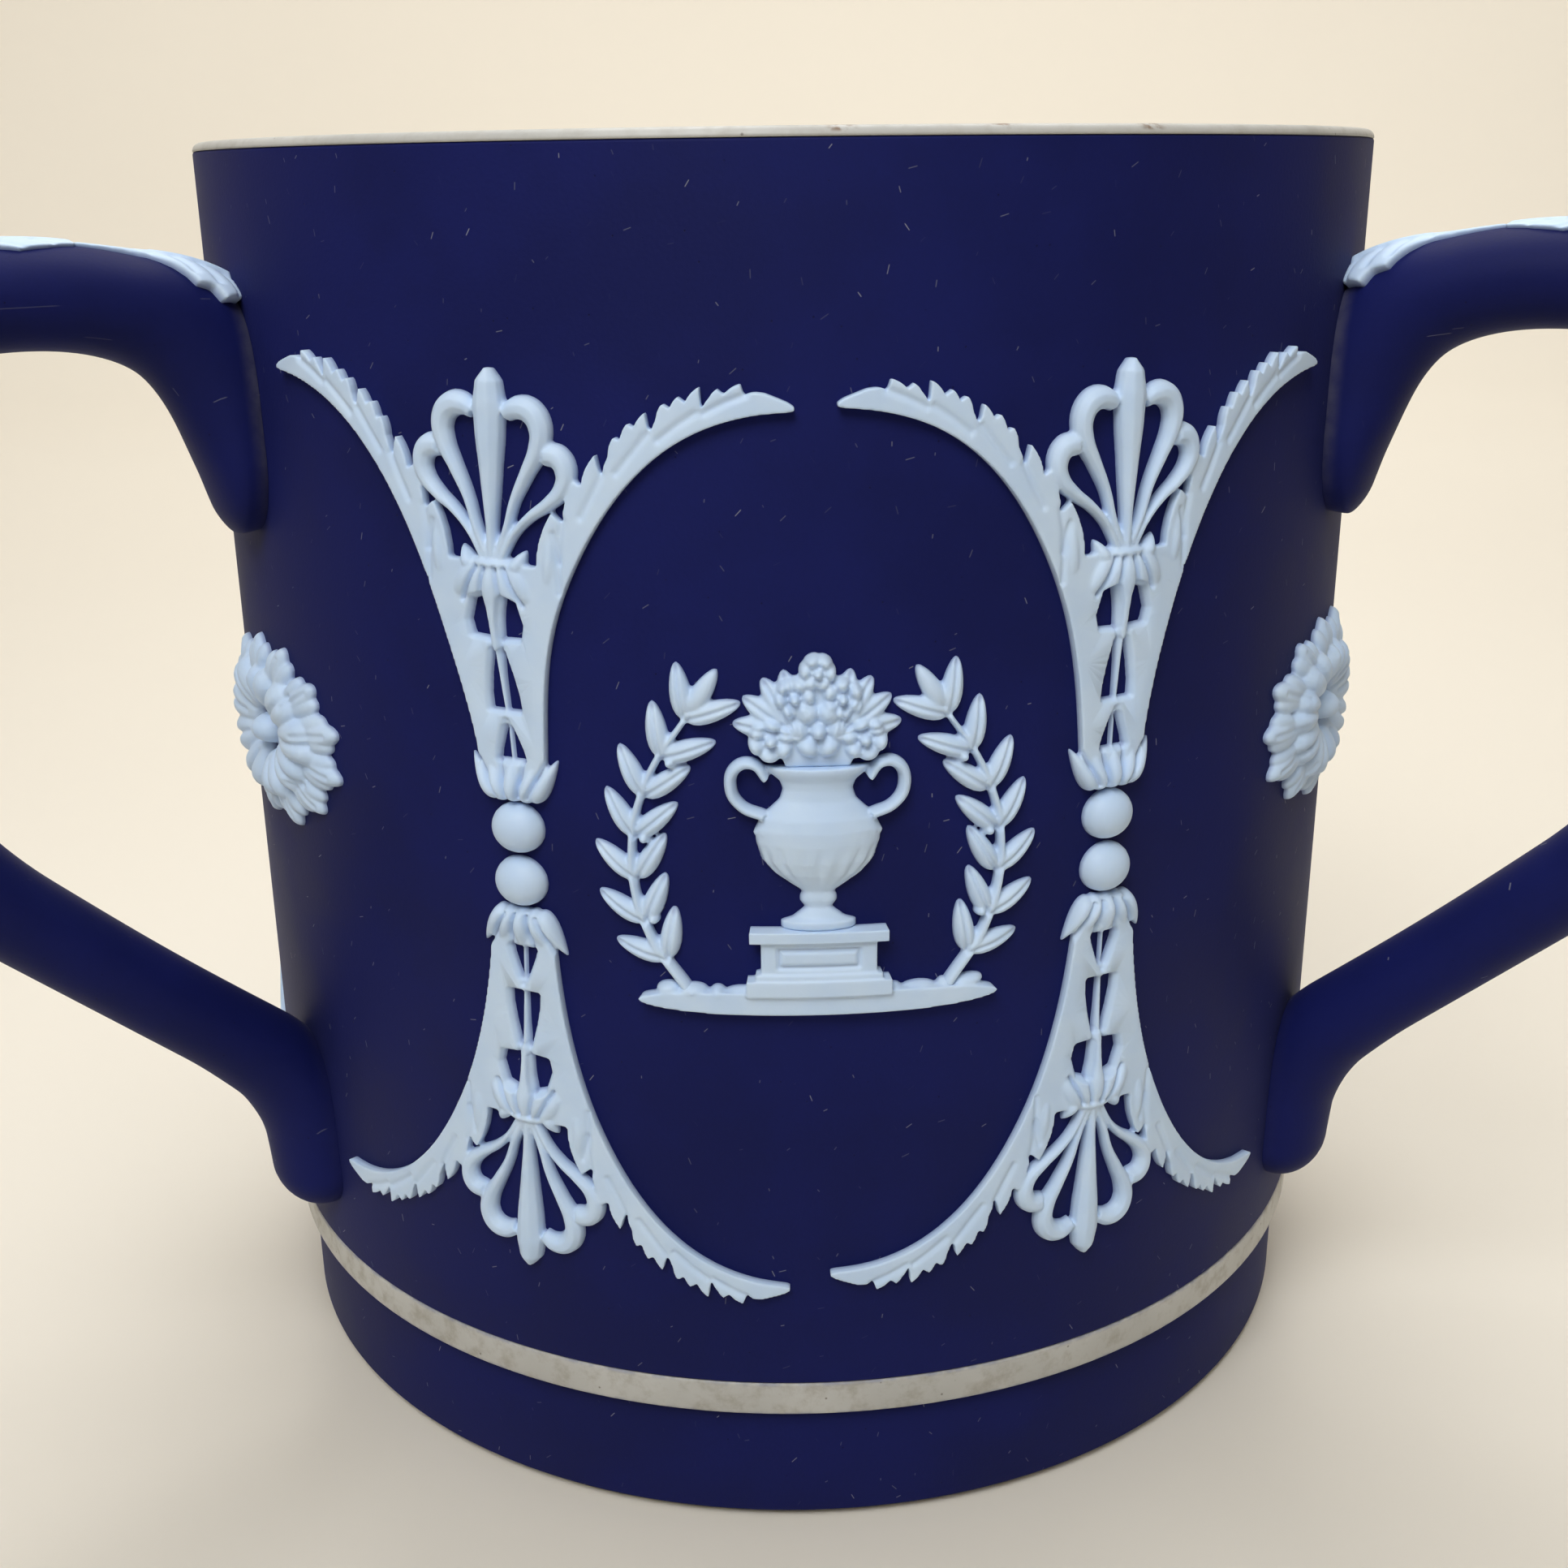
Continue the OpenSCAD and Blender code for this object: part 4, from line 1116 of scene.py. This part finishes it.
def makeBouquet():
    f = scene["flower"]
    heads = [(0, 1.35, 1), (-1.6, 1, 0.8), (1.6, 1, 0.8), (-0.8, 2.5, 0.72), (0.85, 2.45, 0.72),
             (0, 3.4, 0.62)]
    parts = []
    veins = []
    core = [(1.1 * f, 0), (1.6 * f, 1.2 * f), (0.8 * f, 2.5 * f), (0.2 * f, 3.4 * f)]
    outline = [(u, urnRim + v) for u, v in core + [(-u, v) for u, v in core[::-1]]]
    parts.append(slab(outline, 0.9))
    for side in (-1, 1):
        for degrees in (8, 34, 58, 78):
            heading = math.radians(90 - side * (90 - degrees))
            piece, vein = leaf((side * 0.7 * f, urnRim + 1.2 * f), heading, 2.3 * f, 0.95 * f, 1.2)
            parts.append(piece)
            veins.append(vein)
    for k, (u, v, size) in enumerate(heads):
        parts += flower(u * f, urnRim + v * f, size * f * 1.05, 1.6 + 0.25 * size, 0.4 * k)
    piece = fuse(parts, False)
    score(piece, veins, 0.22, 0.3, False)
    return trim(piece)


def makeLaurels():
    half, h, base = scene["groundWidth"] / 2, scene["laurelHeight"], scene["groundHeight"]
    stem = [(0.72 * half, base - 0.3), (0.95 * half, base + 0.22 * h), (1.02 * half, base + 0.5 * h),
            (0.92 * half, base + 0.76 * h), (0.68 * half, base + h)]
    parts = [strand(stem, (0.55, 0.46, 0.4, 0.34, 0.25), (1.1, 1.0, 1.0, 0.95, 0.9))]
    veins = []

    def onStem(t):
        return np.array([np.interp(t, range(len(stem)), values) for values in zip(*stem)])

    for k in range(scene["laurelLeaves"]):
        t = 0.5 + 3.4 * k / (scene["laurelLeaves"] - 1)
        at, ahead, behind = onStem(t), onStem(min(t + 0.3, 4)), onStem(max(t - 0.3, 0))
        heading = math.atan2(*(ahead - behind)[::-1])
        for side in (-1, 1):
            piece, vein = leaf(tuple(at), heading + side * 0.7, 0.2 * h, 0.075 * h, 1.15)
            parts.append(piece)
            veins.append(vein)
        if k % 2:
            berry = at + 0.9 * np.array((math.cos(heading + 1.4), math.sin(heading + 1.4)))
            parts.append(press((berry[0] - 0.5, berry[1]), (berry[0] + 0.5, berry[1]), 1.0, 1.35))
    parts.append(leaf(stem[-1], heading, 0.18 * h, 0.07 * h, 1.1)[0])
    piece = fuse(parts, True)
    score(piece, veins, 0.2, 0.3)
    return trim(piece)


for kind, master in (("ground", makeGround()), ("urn", makeUrn()), ("bouquet", makeBouquet()),
                     ("laurels", makeLaurels())):
    for panel, angle in panelAngles.items():
        applySprig(master, f"{kind}_{panel}", onWall(readPoints(master), angle, sceneBase))
    print(kind, "applied", len(master.data.polygons))
    bpy.data.objects.remove(master)
for master in (halfColumn, beads, rosetteMaster):
    bpy.data.objects.remove(master)


# Leaves that lie along the handles

handleLeaf = {
    "lift": 0.9,
    "veins": (0.12, 0.25, 0.38, 0.5, 0.63, 0.75, 0.88),  # places along the leaf
    "voxel": 0.15,
    "soften": 4,
    "gap": 1e-7,  # merging distance, in metres
}
leafKinds = {  # start and length along the spine, shares of the lift at both ends, shares of the half width
    "root_leaf": {"start": 18.7, "length": 11, "half": 3.5, "lifts": (2, 0.45),
                  "shares": (0.7, 1.1, 0.95, 1.05, 0.8, 0.55, 0.25, 0.12, 0.1, 0.09, 0.09, 0.09, 0.09)},
    "crest_leaf": {"start": 29.7, "length": 26, "half": 3.2, "lifts": (0.5, 1),
                   "shares": (0.25, 0.6, 0.8, 0.6, 0.8, 0.95, 0.7, 0.95, 1, 0.75, 0.85, 0.6, 0.2)},
}


def makeLeaf(start, length, half, lifts, shares):
    edge = []
    for k, share in enumerate(shares):
        edge.append((start + length * k / (len(shares) - 1), half * share))
    parts = [slab(edge + [(u, -v) for u, v in edge[::-1]], handleLeaf["lift"] * 0.75)]
    parts.append(strand([(start + 0.3, 0), (start + length / 2, 0), (start + length - 0.3, 0)],
                        (0.5, 0.35, 0.3), (1.0, 0.9, 0.8)))
    piece = fuse(parts, False, handleLeaf["voxel"], handleLeaf["soften"])
    for side in (half, -half):
        veins = [[(start + length * t, side * 0.15), (start + length * (t - 0.1), side * 0.8)]
                 for t in handleLeaf["veins"]]
        score(piece, veins, 0.25, 0.2, False)
    trim(piece)
    points = readPoints(piece)
    share = np.clip(1 - (points[:, 0] - start) / length, 0, 1) ** 2
    points[:, 2] *= lifts[1] + (lifts[0] - lifts[1]) * share
    writePoints(piece, points)
    return piece


def onHandle(points):  # laid on the outer side of the loop, outside the wall
    wide = handle["width"] / 2
    around = math.pi - np.arcsin(np.clip(points[:, 1] / wide, -0.98, 0.98))
    laid = handlePoints(points[:, 0], around, points[:, 2])
    laid[:, 0] = np.maximum(laid[:, 0], np.sqrt(cup["wallRadius"] ** 2 - laid[:, 1] ** 2))
    return laid


for kind, makings in leafKinds.items():
    master = makeLeaf(**makings)
    for side, angle in handleAngles.items():
        piece = applySprig(master, f"{kind}_{side}", turnTo(onHandle(readPoints(master)), angle))
        fixNormals(piece, handleLeaf["gap"])
    print(kind, "applied", len(master.data.polygons))
    bpy.data.objects.remove(master)
for pellet in lumps.values():
    bpy.data.objects.remove(pellet)


# Floor, light and camera

sweep = {"flat": 0.9, "bend": 0.5, "height": 2.2}  # metres


def makeFloor():  # a flat round floor that sweeps up into a wall
    flat, bend = sweep["flat"], sweep["bend"]
    profile = [(0, 0), (0.4, 0), (flat, 0)]
    for a in np.linspace(0, math.pi / 2, 12)[1:]:
        profile.append((flat + bend * math.sin(a), bend - bend * math.cos(a)))
    profile.append((flat + bend, sweep["height"]))
    return lathe("cream_floor", [(u / mm, v / mm) for u, v in profile], False)


floor = makeFloor()
makeActive(floor)
bpy.ops.object.shade_smooth()
floor.data.materials.append(floorFinish)


def areaLight(name, place, aim, size, power, colour, spread):
    clearSelection()
    bpy.ops.object.light_add(type="AREA", location=place)
    lamp = bpy.context.object
    lamp.name = name
    lamp.data.size = size
    lamp.data.energy = power
    lamp.data.color = colour
    lamp.data.spread = math.radians(spread)
    lamp.rotation_euler = (Vector(aim) - Vector(place)).to_track_quat("-Z", "Y").to_euler()


coolWhite = (0.97, 0.985, 1)
warmWhite = (1, 0.985, 0.96)
roomLight = 0.20
lights = {  # place, aim, size, power, colour and spread in degrees
    "key": ((-0.10, -0.36, 0.50), (0, -0.05, 0.15), 0.3, 0.38, coolWhite, 70),
    "overhead": ((-0.05, 0.1, 1.0), (-0.02, 0, 0), 0.7, 0.66, warmWhite, 90),
    "backdrop": ((0.1, 0.7, 1.15), (0, 1.1, 0.3), 0.9, 11.5, warmWhite, 180),
}
for name, setting in lights.items():
    areaLight(name, *setting)
world = bpy.data.worlds.new("soft_room")
bpy.context.scene.world = world
world.use_nodes = True
background = world.node_tree.nodes["Background"]
background.inputs["Color"].default_value = (*warmWhite, 1)
background.inputs["Strength"].default_value = roomLight

viewpoint = {
    "place": (-8.04, -204.6, 125.09),  # millimetres
    "yaw": 2.065,
    "pitch": 18.589,
    "roll": -0.68,
    "focal": 2233.6,  # pixels, in an image this wide
    "image": 1932,
    "sensor": 36,  # millimetres
    "nearest": 0.01,  # metres
}


def makeCamera():
    clearSelection()
    bpy.ops.object.camera_add()
    camera = bpy.context.object
    yaw, pitch, roll = [math.radians(viewpoint[key]) for key in ("yaw", "pitch", "roll")]
    ahead = Vector((math.sin(yaw) * math.cos(pitch), math.cos(yaw) * math.cos(pitch), -math.sin(pitch)))
    right = Vector((math.cos(yaw), -math.sin(yaw), 0))
    up = right.cross(ahead)
    across = math.cos(roll) * right + math.sin(roll) * up
    upright = -math.sin(roll) * right + math.cos(roll) * up
    turn = Matrix((across, upright, -ahead)).transposed().to_4x4()
    camera.matrix_world = Matrix.Translation(Vector(viewpoint["place"]) * mm) @ turn
    camera.data.sensor_width = viewpoint["sensor"]
    camera.data.lens = viewpoint["focal"] * viewpoint["sensor"] / viewpoint["image"]
    camera.data.clip_start = viewpoint["nearest"]
    bpy.context.scene.camera = camera


makeCamera()
bpy.context.scene.view_settings.view_transform = "Standard"
print("floor, light and camera set")
